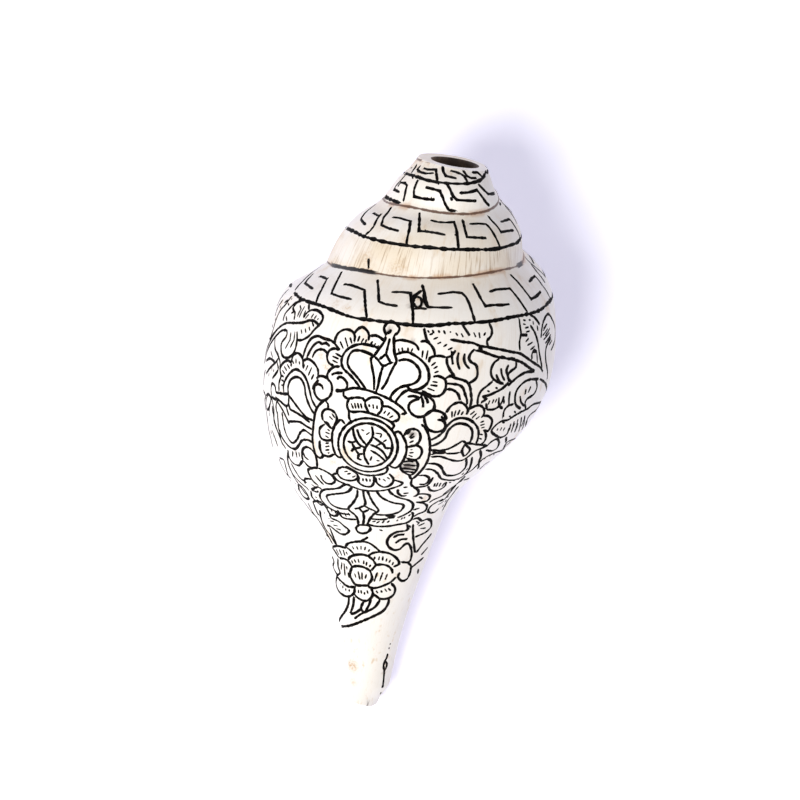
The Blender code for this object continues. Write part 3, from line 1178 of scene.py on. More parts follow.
def to_row(radius, depth, turn):
    """Shell coordinates to the row frame, in millimetres: the shell lies on its bulge, tip and lip edge."""
    angle = 2.0 * math.pi * (np.asarray(turn, float) - TURN_UP)
    side = -radius * np.sin(angle)
    up = radius * np.cos(angle)
    y = -depth * math.cos(REST_TILT) - up * math.sin(REST_TILT)
    z = -depth * math.sin(REST_TILT) + up * math.cos(REST_TILT)
    return np.stack([side - CENTRE_X, y - CENTRE_Y, z + START_HEIGHT], axis=-1)


def way_along_section():
    """The chart's second coordinate over the places of one whorl: arc length divided by radius, summed."""
    places = np.linspace(0.0, SPANS, SPANS * WAY_STEPS_PER_SPAN + 1)
    points = raw_section(TURN_UP, places)
    steps = np.linalg.norm(np.diff(points, axis=0), axis=1)
    radii = (points[1:, 0] + points[:-1, 0]) / 2.0
    return places, np.concatenate([[0.0], np.cumsum(steps / radii)])


WAY_PLACES, WAYS = way_along_section()
WAY_END = WAYS[-1]


def chart_points(turns, ways):
    return np.stack([2.0 * math.pi * turns, ways], axis=-1)


def turns_of(chart):
    return chart[..., 0] / (2.0 * math.pi)


def to_chart(turn, place):
    return chart_points(np.asarray(turn, float), np.interp(place, WAY_PLACES, WAYS))


def from_chart(chart):
    return turns_of(chart), np.interp(chart[..., 1], WAYS, WAY_PLACES)


def on_shell(chart):
    """Point of the outside, in millimetres, at a chart position."""
    turn, place = from_chart(chart)
    points = section(turn, place)
    return to_row(points[..., 0], points[..., 1], turn)


def shell_slopes(chart):
    """Change of the outside's point per unit across and per unit up the chart, by central differences."""
    inner = chart.copy()
    inner[:, 1] = np.clip(inner[:, 1], 1.1 * SLOPE_STEP, WAY_END - 1.1 * SLOPE_STEP)
    slope_across, slope_up = (
        (on_shell(inner + step) - on_shell(inner - step)) / (2.0 * SLOPE_STEP)
        for step in (np.array([SLOPE_STEP, 0.0]), np.array([0.0, SLOPE_STEP]))
    )
    return slope_across, slope_up


def unit(vectors):
    return vectors / np.maximum(np.linalg.norm(vectors, axis=-1, keepdims=True), 1e-9)


def to_photo(points):
    """Picture coordinates of points in the row frame: the camera looks straight down, turned about it."""
    away = points - CAMERA_PLACE
    right = away[..., 0] * math.cos(CAMERA_TURN) + away[..., 1] * math.sin(CAMERA_TURN)
    up = away[..., 1] * math.cos(CAMERA_TURN) - away[..., 0] * math.sin(CAMERA_TURN)
    scale = CAMERA_LENS / CAMERA_SENSOR * PHOTO_SIZE / -away[..., 2]
    return np.stack([PHOTO_SIZE / 2.0 + scale * right, PHOTO_SIZE / 2.0 - scale * up], axis=-1)


def covered_way(turn):
    """Chart way at which the next whorl starts to cover the outside."""
    return np.interp(covered_place(turn), WAY_PLACES, WAYS)


def chart_limit(turn):
    """Highest chart way of the outside at a turn: up to the next whorl, or to the tip on the last whorl."""
    return np.where(turn >= TURN_OPEN, WAY_END, covered_way(turn))


def facing(chart):
    """Cosine between the outside's normal and the way to the camera."""
    slope_across, slope_up = shell_slopes(chart)
    normal = unit(np.cross(slope_across, slope_up))
    return np.sum(normal * unit(CAMERA_PLACE - on_shell(chart)), axis=-1)


def seen_limit(chart):
    """Highest chart way that the camera can see at a chart position's turn."""
    turn = turns_of(chart)
    return np.where(turn >= TURN_LOWEST_SEEN, WAY_END, covered_way(turn))


def from_photo(pixels):
    """Chart positions seen at picture coordinates, and which of them are really on the visible outside.

    A coarse net over the visible outside gives the nearest start, and Newton steps on the map from the
    chart to the picture do the rest.
    """
    turns = np.arange(NET_FIRST_TURN, TURN_LIP, 1.0 / NET_STEPS_PER_TURN)
    ways = np.linspace(0.0, WAY_END, NET_WAYS)
    net = np.stack(np.meshgrid(2.0 * math.pi * turns, ways, indexing="ij"), axis=-1).reshape(-1, 2)
    net = net[net[:, 1] <= seen_limit(net)]
    net = net[facing(net) > NET_FACING]
    seen = to_photo(on_shell(net))
    nearest = [
        np.argmin(((pixels[part, None, :] - seen[None]) ** 2).sum(axis=-1), axis=1)
        for part in np.array_split(np.arange(len(pixels)), max(len(pixels) // 200, 1))
    ]
    chart = net[np.concatenate(nearest)].copy()
    for _ in range(NEWTON_STEPS):
        miss = pixels - to_photo(on_shell(chart))
        across, up = (
            (to_photo(on_shell(chart + step)) - to_photo(on_shell(chart - step))) / (2.0 * PICTURE_STEP)
            for step in ([PICTURE_STEP, 0.0], [0.0, PICTURE_STEP])
        )
        area = across[:, 0] * up[:, 1] - across[:, 1] * up[:, 0]
        area = np.where(np.abs(area) < 1.0, np.where(area < 0.0, -1.0, 1.0), area)
        move = np.stack([
            (miss[:, 0] * up[:, 1] - miss[:, 1] * up[:, 0]) / area,
            (across[:, 0] * miss[:, 1] - across[:, 1] * miss[:, 0]) / area,
        ], axis=-1)
        chart += np.clip(move, -LONGEST_MOVE, LONGEST_MOVE)
        chart[:, 1] = np.clip(chart[:, 1], 0.0, WAY_END)
    miss = np.linalg.norm(pixels - to_photo(on_shell(chart)), axis=1)
    inside = chart[:, 1] <= seen_limit(chart) + 0.01
    return chart, (miss < LARGEST_MISS) & inside & (facing(chart) > 0.0)


def stroke_paths(text):
    """Lists of picture points, one stroke a line, points parted by blanks."""
    return [
        np.array([[float(part) for part in point.split(",")] for point in line.split()])
        for line in text.strip().splitlines()
    ]


def photo_strokes():
    """All strokes of the listed groups on the chart, as (kind, group, chart points).

    Points that the camera can't see are left out, and a stroke is parted where it would jump over the shell.
    """
    listed = []
    for table, tick in ((LINES, False), (TICKS, True)):
        for group, text in table.items():
            kind = "tick" if tick else KINDS.get(group, "line")
            listed += [(kind, group, path) for path in stroke_paths(text)]
    for centre, radii, lean in MEDALLION_RINGS:
        turn = np.linspace(0.0, 2.0 * math.pi, RING_POINTS)
        along = radii[0] * np.cos(turn)
        across = radii[1] * np.sin(turn)
        lean = math.radians(lean)
        ring = np.stack([
            centre[0] + along * math.cos(lean) - across * math.sin(lean),
            centre[1] + along * math.sin(lean) + across * math.cos(lean),
        ], axis=-1)
        listed.append(("line", "medallion", ring))
    pixels = np.concatenate([path for _, _, path in listed])
    chart, seen = from_photo(pixels)
    strokes = []
    start = 0
    for kind, group, path in listed:
        keep = start + np.flatnonzero(seen[start:start + len(path)])
        start += len(path)
        points = chart[keep]
        seen_steps = np.linalg.norm(np.diff(pixels[keep], axis=0), axis=1)
        shell_steps = np.linalg.norm(np.diff(on_shell(points), axis=0), axis=1)
        jump = shell_steps > STEEPEST_STEP * seen_steps + STEP_ROOM
        jump |= np.abs(np.diff(points[:, 0])) > LONGEST_ANGLE
        for piece in np.split(points, np.flatnonzero(jump) + 1):
            if len(piece) > 1:
                strokes.append((kind, group, piece))
    return strokes


def row_line(turn):
    """Chart way of the line under the fret, all along the spiral."""
    turns, places = np.array(ROW_LINE).T
    return np.interp(np.interp(turn, turns, places), WAY_PLACES, WAYS)


def fret_units(first, last, count, top, bottom):
    """The key fret between two chart ways over some turns, seen from outside with growth to the left.

    One unit is a post standing on the upper edge with a foot, and a bar that turns down to the lower line.
    """
    pitch = (first - last) / count
    strokes = []
    for unit_at in range(count):
        for shape in FRET_SHAPES:
            points = np.array(shape)
            turns = first - pitch * (unit_at + points[:, 0])
            low, high = top(turns), bottom(turns)
            ways = low + (high - low) * points[:, 1]
            strokes.append(("fret", "fret", chart_points(turns, ways)))
    return strokes


def hidden_strokes(front):
    """What the camera doesn't see: the frets and lines go on round the spiral, the leaves are mirrored."""
    strokes = []
    for newest, oldest, count in FRET_STRETCHES:
        strokes += fret_units(newest, oldest, count, lambda turns: turns * 0.0, row_line)
    newest, oldest, count = LOWER_FRET_STRETCH
    strokes += fret_units(newest, oldest, count, row_line, chart_limit)
    for newest, oldest in ROW_LINE_STRETCHES:
        turns = np.linspace(newest, oldest, 40)
        strokes.append(("row", "band lines", chart_points(turns, row_line(turns))))
    for groups, mirror, low, high in MIRRORED:
        for kind, group, points in front:
            turns = 2.0 * mirror - turns_of(points)
            if group in groups and low < turns.min() and turns.max() < high:
                strokes.append((kind, group, chart_points(turns, points[:, 1])))
    return strokes


def refine(points, spots, straight):
    """Chart samples along a stroke, STROKE_STEP apart: straight pieces, or a Catmull-Rom curve."""
    lengths = np.linalg.norm(np.diff(spots, axis=0), axis=1)
    counts = np.maximum(np.ceil(lengths / STROKE_STEP).astype(int), 1)
    piece = np.repeat(np.arange(len(counts)), counts)
    f = (np.arange(counts.sum()) - np.repeat(np.cumsum(counts) - counts, counts)) / counts[piece]
    f = f[:, None]
    padded = np.concatenate([[2.0 * points[0] - points[1]], points, [2.0 * points[-1] - points[-2]]])
    before, one, two, after = (padded[piece + step] for step in range(4))
    if straight:
        samples = one + (two - one) * f
    else:
        samples = 0.5 * (
            2.0 * one + (two - before) * f + (2.0 * before - 5.0 * one + 4.0 * two - after) * f**2
            + (3.0 * one - before - 3.0 * two + after) * f**3
        )
    samples = np.concatenate([samples, points[-1:]])
    near_start = samples[:1] + (samples[1:2] - samples[:1]) * END_SHARE
    near_end = samples[-1:] + (samples[-2:-1] - samples[-1:]) * END_SHARE
    return np.concatenate([samples[:1], near_start, samples[1:-1], near_end, samples[-1:]])


def lay_out(strokes, rng):
    """Samples of all strokes with half widths and depths, cut off short of the surface's edges.

    The half width swells and shrinks a little as a hand-held graver's cut does, and runs out round at ends.
    """
    sizes = [len(points) for _, _, points in strokes]
    spots = on_shell(np.concatenate([points for _, _, points in strokes]))
    charts, owners, widths, depths = [], [], [], []
    start = 0
    for number, (kind, _, points) in enumerate(strokes):
        half_width, depth, straight, unrest = CUTS[kind]
        own = spots[start:start + sizes[number]]
        start += sizes[number]
        samples = refine(points, own, straight)
        swell = np.clip(rng.normal(size=len(samples)), -UNREST_LIMIT, UNREST_LIMIT)
        width = half_width * (1.0 + unrest * swell)
        if np.linalg.norm(own[0] - own[-1]) > CLOSED_GAP:
            width[[1, -2]] *= END_WIDTH
            width[[0, -1]] = 0.0
        charts.append(samples)
        owners.append(np.full(len(samples), number))
        widths.append(width)
        depths.append(np.full(len(samples), depth))
    chart, owner, width, depth = (np.concatenate(part) for part in (charts, owners, widths, depths))
    turn, place = from_chart(chart)
    radius = section(turn, place)[:, 0]
    room = np.minimum(chart[:, 1], chart_limit(turn) - chart[:, 1]) * radius
    below_covered = chart[:, 1] > covered_way(TURN_OPEN) - 0.02
    before_mouth = np.where(below_covered, (turn - TURN_OPEN) * 2.0 * math.pi * radius, room)
    room = np.minimum(room, before_mouth)
    room = np.minimum(room, (TURN_LIP - turn) * 2.0 * math.pi * radius - LIP_ROUND)
    good = room > width + EDGE_ROOM
    same = owner[1:] == owner[:-1]
    joined = same & good[1:] & good[:-1]
    lonely = ~(np.concatenate([joined, [False]]) | np.concatenate([[False], joined]))
    good &= ~lonely
    before_ok = np.concatenate([[True], ~same | good[:-1]])
    after_ok = np.concatenate([~same | good[1:], [True]])
    width[~(before_ok & after_ok)] = 0.0
    keep = np.flatnonzero(good)
    chart, owner, width, depth = chart[keep], owner[keep], width[keep], depth[keep]
    joined = (owner[1:] == owner[:-1]) & (np.diff(keep) == 1)
    return chart, width, depth, joined


def edges_of_cuts(chart, width, joined):
    """Chart positions of both edges of each cut: the half width laid off sideways on the shell itself."""
    spots = on_shell(chart)
    across, up = shell_slopes(chart)
    normal = unit(np.cross(across, up))
    ahead = np.zeros_like(spots)
    ahead[:-1][joined] = unit(spots[1:] - spots[:-1])[joined]
    behind = np.zeros_like(spots)
    behind[1:][joined] = unit(spots[1:] - spots[:-1])[joined]
    along = unit(ahead + behind)
    leaving = np.where(np.any(ahead != 0.0, axis=1)[:, None], ahead, behind)
    half_bend = np.maximum(np.sum(along * leaving, axis=1), SHARPEST_BEND)
    side = np.cross(normal, along) * (width / half_bend)[:, None]
    aa, au, uu = np.sum(across * across, axis=1), np.sum(across * up, axis=1), np.sum(up * up, axis=1)
    sa, su = np.sum(side * across, axis=1), np.sum(side * up, axis=1)
    area = aa * uu - au * au
    move = np.stack([(sa * uu - su * au) / area, (su * aa - sa * au) / area], axis=-1)
    return chart + move, chart - move


def cut_field(points, cuts):
    """Depth of the engraving at points on the shell, and how far each is outside the nearest cut.

    A cut is a V whose depth falls steadily from its centre line to its edge.
    """
    spots, width, depth, joined, full = cuts
    depths = np.zeros(len(points))
    outside = np.full(len(points), FAR_OUTSIDE)
    order = np.argsort(points[:, 1])
    sorted_y = points[order, 1]
    breaks = np.flatnonzero(~joined) + 1
    for run in np.split(np.arange(len(spots)), breaks):
        if len(run) < 2:
            continue
        lowest = spots[run].min(axis=0) - CUT_REACH
        highest = spots[run].max(axis=0) + CUT_REACH
        first, last = np.searchsorted(sorted_y, [lowest[1], highest[1]])
        near = order[first:last]
        near = near[np.all((points[near] > lowest) & (points[near] < highest), axis=1)]
        if not len(near):
            continue
        start = spots[run[:-1]]
        reach = spots[run[1:]] - start
        span = np.maximum(np.sum(reach * reach, axis=1), 1e-9)
        offset = points[near][:, None] - start[None]
        f = np.clip(np.sum(offset * reach[None], axis=2) / span, 0.0, 1.0)
        distance = np.linalg.norm(offset - reach[None] * f[..., None], axis=2)
        half = width[run[:-1]] + (width[run[1:]] - width[run[:-1]]) * f
        share = half / full[run[0]]
        inside = 1.0 - distance / np.maximum(half, 1e-6)
        cut = depth[run[0]] * share * np.clip(inside, 0.0, 1.0)
        depths[near] = np.maximum(depths[near], cut.max(axis=1))
        outside[near] = np.minimum(outside[near], (distance - half).min(axis=1))
    return depths, outside


def ground_points(cuts):
    """Chart points over the whole outside, GROUND_SPACING apart, away from its edges and from the cuts."""
    fine = np.linspace(TURN_FIRST, TURN_LIP, GROUND_TURN_STEPS)
    rows = []
    for number, way in enumerate(np.arange(0.0, WAY_END, GROUND_SPACING / GROUND_RADIUS)):
        turn, place = from_chart(np.array([0.0, way]))
        radius = section(fine, np.full(len(fine), place))[:, 0]
        reach = np.concatenate([[0.0], np.cumsum(np.diff(fine) * 2.0 * math.pi * radius[1:])])
        marks = np.arange(0.5 + 0.5 * (number % 2), reach[-1] / GROUND_SPACING) * GROUND_SPACING
        turns = np.interp(marks, reach, fine)
        rows.append(chart_points(turns, np.full(len(turns), way)))
    chart = np.concatenate(rows)
    turn, place = from_chart(chart)
    radius = section(turn, place)[:, 0]
    seam_room = np.minimum(chart[:, 1], chart_limit(turn) - chart[:, 1]) * radius
    keep = seam_room > SEAM_ROWS[-1] + GROUND_CUT_ROOM
    keep &= (TURN_LIP - turn) * 2.0 * math.pi * radius > LIP_ROUND + GROUND_EDGE_ROOM
    keep &= (turn - TURN_FIRST) * radius > GROUND_APEX_ROOM
    past_opening = (turn - TURN_OPEN) * 2.0 * math.pi * radius
    keep &= (chart[:, 1] < covered_way(TURN_OPEN)) | (past_opening > GROUND_EDGE_ROOM) | (turn < TURN_OPEN)
    chart = chart[keep]
    _, outside = cut_field(on_shell(chart), cuts)
    return chart[outside > GROUND_CUT_ROOM]


def boundary():
    """The chart's outline as one closed loop, with the number of points on each of its six sides."""
    turns = TURN_LIP - np.arange(COLUMNS, -1, -1) / STEPS_PER_TURN
    open_at = COLUMNS - STEPS_PER_TURN
    places = np.linspace(0.0, SPANS, LIP_ROWS + 1)
    open_places = np.linspace(SPANS, float(covered_place(TURN_OPEN)), OPENING_ROWS)
    first_places = np.linspace(float(covered_place(TURN_FIRST)), 0.0, APEX_ROWS)
    sides = [
        to_chart(turns, 0.0 * turns),
        to_chart(0.0 * places + TURN_LIP, places)[1:],
        to_chart(turns[open_at:][::-1], np.full(STEPS_PER_TURN + 1, float(SPANS)))[1:],
        to_chart(0.0 * open_places + TURN_OPEN, open_places)[1:],
        to_chart(turns[:open_at][::-1], covered_place(turns[:open_at][::-1])),
        to_chart(0.0 * first_places + TURN_FIRST, first_places)[1:-1],
    ]
    return np.concatenate(sides), [len(side) for side in sides]


def seam_points():
    """Rows of chart points that run close along both sides of the suture."""
    rows = []
    for number, offset in enumerate(SEAM_ROWS):
        turns = TURN_LIP - (np.arange(COLUMNS - 6) + 2 + 0.5 * (number % 2)) / STEPS_PER_TURN
        away = offset / suture(turns)[:, 0]
        rows.append(chart_points(turns, away))
        under = turns[turns < TURN_OPEN - 0.01]
        away = offset / section(under, covered_place(under))[:, 0]
        rows.append(chart_points(under, chart_limit(under) - away))
    return np.concatenate(rows)


def outside_mesh(strokes, rng):
    """The engraved outside: chart positions, points, triangles, which of them are inked, and the outline.

    The chart is filled with a constrained Delaunay net through the outline, the cuts' centre lines and edges,
    the rows along the suture and the ground points. Each point is brought onto the shell and sunk by the
    cuts' depth there.
    """
    chart, width, depth, joined = lay_out(strokes, rng)
    full = np.array([CUTS[kind][0] for kind in CUTS])
    depth_of = np.array([CUTS[kind][1] for kind in CUTS])
    whole = full[np.argmin(np.abs(depth[:, None] - depth_of[None]), axis=1)]
    cuts = (on_shell(chart), width, depth, joined, whole)
    left, right = edges_of_cuts(chart, width, joined)
    rim, sides = boundary()
    seams = seam_points()
    _, outside = cut_field(on_shell(seams), cuts)
    seams = seams[outside > EDGE_ROOM]
    ground = ground_points(cuts)
    count = len(chart)
    base = len(rim)
    points = np.concatenate([rim, left, chart, right, seams, ground])
    loop = np.arange(base)
    edges = [np.stack([loop, np.roll(loop, -1)], axis=-1)]
    link = np.flatnonzero(joined)
    for row in range(3):
        start = base + row * count
        edges.append(np.stack([start + link, start + link + 1], axis=-1))
    ends = np.flatnonzero(~np.concatenate([[False], joined]) | ~np.concatenate([joined, [False]]))
    edges.append(np.stack([base + ends, base + count + ends], axis=-1))
    edges.append(np.stack([base + count + ends, base + 2 * count + ends], axis=-1))
    edges = np.concatenate(edges)
    result = delaunay_2d_cdt([Vector(point) for point in points.tolist()], edges.tolist(), [], 0, 1e-6, True)
    found, _, faces, origins, _, _ = result
    found = np.array([tuple(point) for point in found])
    faces = np.array([tuple(face) for face in faces])
    rim_ids = np.full(base, -1)
    for number, origin in enumerate(origins):
        for one in origin:
            if one < base:
                rim_ids[one] = number
    middle = found[faces].mean(axis=1)
    turns = turns_of(middle)
    side_turns = turns_of(rim[:sides[0]])
    covered = np.interp(turns, side_turns, chart_limit(side_turns - 1e-9))
    limit = np.where(turns >= TURN_OPEN, WAY_END, covered)
    inside = (middle[:, 1] > 0.0) & (middle[:, 1] < limit) & (turns > TURN_FIRST) & (turns < TURN_LIP)
    faces = faces[inside]
    spots = on_shell(found)
    across, up = shell_slopes(found)
    normal = unit(np.cross(across, up))
    depths, _ = cut_field(spots, cuts)
    _, outside = cut_field(on_shell(found[faces].mean(axis=1)), cuts)
    ink = outside < -INK_MARGIN
    depths[rim_ids] = 0.0
    spots = spots - normal * depths[:, None]
    return found, spots, faces, ink, rim_ids, sides


def closed_shell(strokes, rng):
    """The uncut shell: engraved outside, rounded lip and tip, closed mouth and apex, one welded suture."""
    chart, spots, faces, ink, rim_ids, sides = outside_mesh(strokes, rng)
    seam, lip, end, opening, covered, first = np.split(rim_ids, np.cumsum(sides)[:-1])
    lip = np.concatenate([seam[-1:], lip])
    end = np.concatenate([lip[-1:], end])
    opening = np.concatenate([end[-1:], opening])
    covered = np.concatenate([opening[-1:], covered])[::-1]
    same = np.arange(len(chart))
    same[covered] = seam[STEPS_PER_TURN:]
    welded = same[faces]

    _, lip_place = from_chart(chart[lip])
    lip_section = section(np.full(len(lip), TURN_LIP), lip_place)
    end_turn = turns_of(chart[end])
    end_section = section(end_turn, np.full(len(end), float(SPANS)))
    tip_rows = [end]
    new_points, new_charts = [], []
    total = len(chart)
    for angle in ROUNDING:
        radius = end_section[:, 0] - TIP_ROUND * (1.0 - math.cos(angle))
        deep = end_section[:, 1] + TIP_ROUND * math.sin(angle)
        new_points.append(to_row(radius, deep, end_turn))
        new_charts.append(np.stack([chart[end, 0], np.full(len(end), WAY_END + 0.05)], axis=-1))
        tip_rows.append(total + np.arange(len(end)))
        total += len(end)
    polygons = []
    for above, below in zip(tip_rows, tip_rows[1:]):
        polygons += np.stack([above[:-1], below[:-1], below[1:], above[1:]], axis=-1).tolist()
    polygons.append(tip_rows[-1].tolist())

    lip_column = np.concatenate([lip, [row[0] for row in tip_rows[1:]]])
    lip_radius_depth = np.concatenate([lip_section, np.stack([
        end_section[0, 0] - TIP_ROUND * (1.0 - np.cos(ROUNDING)),
        end_section[0, 1] + TIP_ROUND * np.sin(ROUNDING),
    ], axis=-1)])
    edge_turn = LIP_ROUND / (2.0 * math.pi * np.maximum(lip_radius_depth[:, 0], LIP_GROW))
    away = np.minimum(np.linalg.norm(lip_radius_depth - lip_radius_depth[0], axis=1) / LIP_GROW, 1.0)
    to_tip = lip_radius_depth[-4, 1] - lip_radius_depth[:, 1]
    away = np.minimum(away, np.clip(to_tip / LIP_GROW, 0.0, 1.0))
    spots[lip] = to_row(lip_section[:, 0], lip_section[:, 1], TURN_LIP - (edge_turn * away)[:len(lip)])
    normal = inward(lip_radius_depth)
    before = lip_column.copy()
    for bend in ROUNDING:
        row = before.copy()
        moved = lip_radius_depth + normal * (LIP_ROUND * (1.0 - math.cos(bend)) * away)[:, None]
        turned = TURN_LIP - edge_turn * (1.0 - math.sin(bend)) * away
        free = np.flatnonzero(away > 0.0)
        row[free] = total + np.arange(len(free))
        total += len(free)
        new_points.append(to_row(moved[free, 0], moved[free, 1], turned[free]))
        way = np.concatenate([chart[lip, 1], np.full(3, WAY_END)])[free]
        new_charts.append(chart_points(np.full(len(free), TURN_LIP), way))
        for one in range(len(row) - 1):
            ring = [before[one], row[one], row[one + 1], before[one + 1]]
            ring = [int(value) for spot, value in enumerate(ring) if value not in ring[:spot]]
            if len(ring) > 2:
                polygons.append(ring)
        before = row
    inner_edge = np.concatenate([opening[::-1], [row[-1] for row in tip_rows[1:]]])
    polygons.append([int(value) for value in before[::-1]] + [int(value) for value in inner_edge[1:]])
    apex = total
    new_points.append(to_row(np.array([0.0]), np.array([NATURAL_APEX_DEPTH]), np.array([0.0])))
    new_charts.append(np.array([[2.0 * math.pi * TURN_FIRST, 0.0]]))
    fan = np.concatenate([seam[:STEPS_PER_TURN + 1], first, seam[:1]])
    polygons += [[int(one), int(two), apex] for one, two in zip(fan, fan[1:])]

    points = np.concatenate([spots] + new_points)
    charts = np.concatenate([chart] + new_charts)
    same = np.concatenate([same, np.arange(len(same), total + 1)])
    polygons = [[int(same[value]) for value in ring] for ring in polygons]
    return points, charts, welded, faces, ink, polygons


def tube_turns():
    """Turns of the hollow's rings: even inside, close together where it flares at the lip."""
    inside = np.arange(TUBE_START, TURN_LIP - TUBE_LIP_ROOM, 1.0 / TUBE_STEPS_PER_TURN)
    return np.concatenate([inside, TURN_LIP + TUBE_LAST_TURNS])


def tube_loop(turn):
    """Section of the hollow at a turn, as radius and depth round a closed loop.

    The outer side is the whorl's section moved inwards by the wall. The inner side is the whorl before,
    with a thin callus and the plaits of the columella. The ends are where the two sides close up.
    """
    places = np.linspace(0.0, SPANS, TUBE_PLACES)
    outside = section(turn, places)
    wall = WALL + (CANAL_WALL - WALL) * smooth((outside[:, 1] - CANAL_WALL_DEPTH) / CANAL_WALL_REACH)
    flare = np.clip((turn - TURN_LIP + FLARE_TURNS) / FLARE_TURNS, 0.0, 1.0)
    wall = wall - FLARE * (1.0 - math.sqrt(1.0 - flare * flare))
    outside = outside + inward(outside) * wall[:, None]
    under = section(turn - 1.0, places)
    depths = np.linspace(outside[0, 1], outside[-1, 1], TUBE_DEPTHS)
    order = np.argsort(outside[:, 1])
    outer = np.interp(depths, outside[order, 1], outside[order, 0])
    inner = np.interp(depths, under[:, 1], under[:, 0])
    ahead = max(turn - TURN_LIP, 0.0) / AHEAD_TURNS
    inner = inner + CALLUS + AHEAD_RISE * ahead
    plaits = section(turn - 1.0, np.array(PLAIT_PLACES))[:, 1]
    back = TURN_LIP - turn
    grown = smooth((PLAIT_START_TURNS - back) / PLAIT_GROW_TURNS)
    rise = PLAIT_HEIGHT * smooth(back / PLAIT_END_TURNS) * grown
    for depth in plaits:
        inner = inner + rise * smooth(1.0 - np.abs(depths - depth) / PLAIT_HALF_WIDTH)
    inner = np.minimum(inner, outer)
    open_part = outer - inner > NARROWEST_HOLLOW
    low = high = int(np.argmax(outer - inner))
    while low > 0 and open_part[low - 1]:
        low -= 1
    while high < len(depths) - 1 and open_part[high + 1]:
        high += 1
    top, bottom = depths[low], depths[high]
    stations = top + (bottom - top) * (1.0 - np.cos(np.linspace(0.0, math.pi, TUBE_STATIONS))) / 2.0
    grown = float(smooth((turn - TUBE_START + TUBE_HEAD_START) / TUBE_GROW_TURNS))
    inner_side = np.interp(stations, depths, inner)
    outer_side = inner_side + (np.interp(stations, depths, outer) - inner_side) * grown
    return np.concatenate([
        np.stack([outer_side, stations], axis=1),
        np.stack([inner_side, stations], axis=1)[::-1],
    ])


def ring_faces(rings, count):
    """Faces of a closed loft of equal rings, with both end rings filled."""
    start = (np.arange(rings - 1) * count)[:, None]
    spot = np.arange(count)[None]
    after = (spot + 1) % count
    quads = np.stack([start + spot, start + after, start + count + after, start + count + spot], axis=-1)
    ends = [list(range(count))[::-1], list(range((rings - 1) * count, rings * count))]
    return quads.reshape(-1, 4).tolist() + ends


def tube():
    """The hollow that winds from the apex down to the mouth."""
    turns = tube_turns()
    loops = [tube_loop(turn) for turn in turns]
    points = np.concatenate([to_row(loop[:, 0], loop[:, 1], turn) for loop, turn in zip(loops, turns)])
    return points, ring_faces(len(turns), len(loops[0]))


def lathe(outline, count):
    """A solid of revolution about the shell's axis from (radius, depth) pairs."""
    angles = np.arange(count) / count
    points = np.concatenate([
        to_row(np.full(count, radius), np.full(count, depth), angles) for radius, depth in outline
    ])
    return points, ring_faces(len(outline), count)


def table_block():
    """A block under the table plane, so that what touches the table ends in small flats."""
    corners = np.array([(x, y, z) for z in (-30.0, 0.0) for y in (-200.0, 200.0) for x in (-100.0, 100.0)])
    sides = [(0, 2, 3, 1), (4, 5, 7, 6), (0, 1, 5, 4), (2, 6, 7, 3), (0, 4, 6, 2), (1, 3, 7, 5)]
    return corners, sides


def new_mesh(name, points, faces):
    """A mesh in metres from points in millimetres."""
    mesh = bpy.data.meshes.new(name)
    mesh.from_pydata((np.asarray(points) * MM).tolist(), [], [list(face) for face in faces])
    mesh.update()
    return mesh


def turned_out(mesh):
    """Faces all outward, whatever way they were listed."""
    work = bmesh.new()
    work.from_mesh(mesh)
    bmesh.ops.recalc_face_normals(work, faces=work.faces)
    loose = [vertex for vertex in work.verts if not vertex.link_faces]
    bmesh.ops.delete(work, geom=loose, context="VERTS")
    work.to_mesh(mesh)
    work.free()


def put_values(mesh, name, values):
    """One number a point, kept in the mesh under a name."""
    layer = mesh.attributes.new(name, "FLOAT", "POINT")
    layer.data.foreach_set("value", np.ascontiguousarray(values, dtype=np.float32))


def carve(body, name, solid, material_index):
    """Take a solid away from the body; the cut faces get the material slot given."""
    mesh = new_mesh(name, *solid)
    turned_out(mesh)
    for material in body.data.materials:
        mesh.materials.append(material)
    mesh.polygons.foreach_set("material_index", np.full(len(mesh.polygons), material_index, dtype=np.int32))
    cutter = bpy.data.objects.new(name, mesh)
    bpy.context.scene.collection.objects.link(cutter)
    step = body.modifiers.new(name, "BOOLEAN")
    step.operation = "DIFFERENCE"
    step.solver = "MANIFOLD"
    step.object = cutter
    shaped = bpy.data.meshes.new_from_object(body.evaluated_get(bpy.context.evaluated_depsgraph_get()))
    body.modifiers.clear()
    body.data = shaped
    bpy.data.objects.remove(cutter, do_unlink=True)


def spot_amount(chart, spots):
    """Soft round patches: each is strongest at its centre and fades to nothing at its radius."""
    pixels = np.array([spot[0] for spot in spots], dtype=float)
    centres = on_shell(from_photo(pixels)[0])
    here = on_shell(chart)
    amount = np.zeros(len(chart))
    for centre, (_, radius, strength) in zip(centres, spots):
        distance = np.linalg.norm(here - centre, axis=1)
        amount = np.maximum(amount, strength * smooth(1.0 - distance / radius))
    return amount


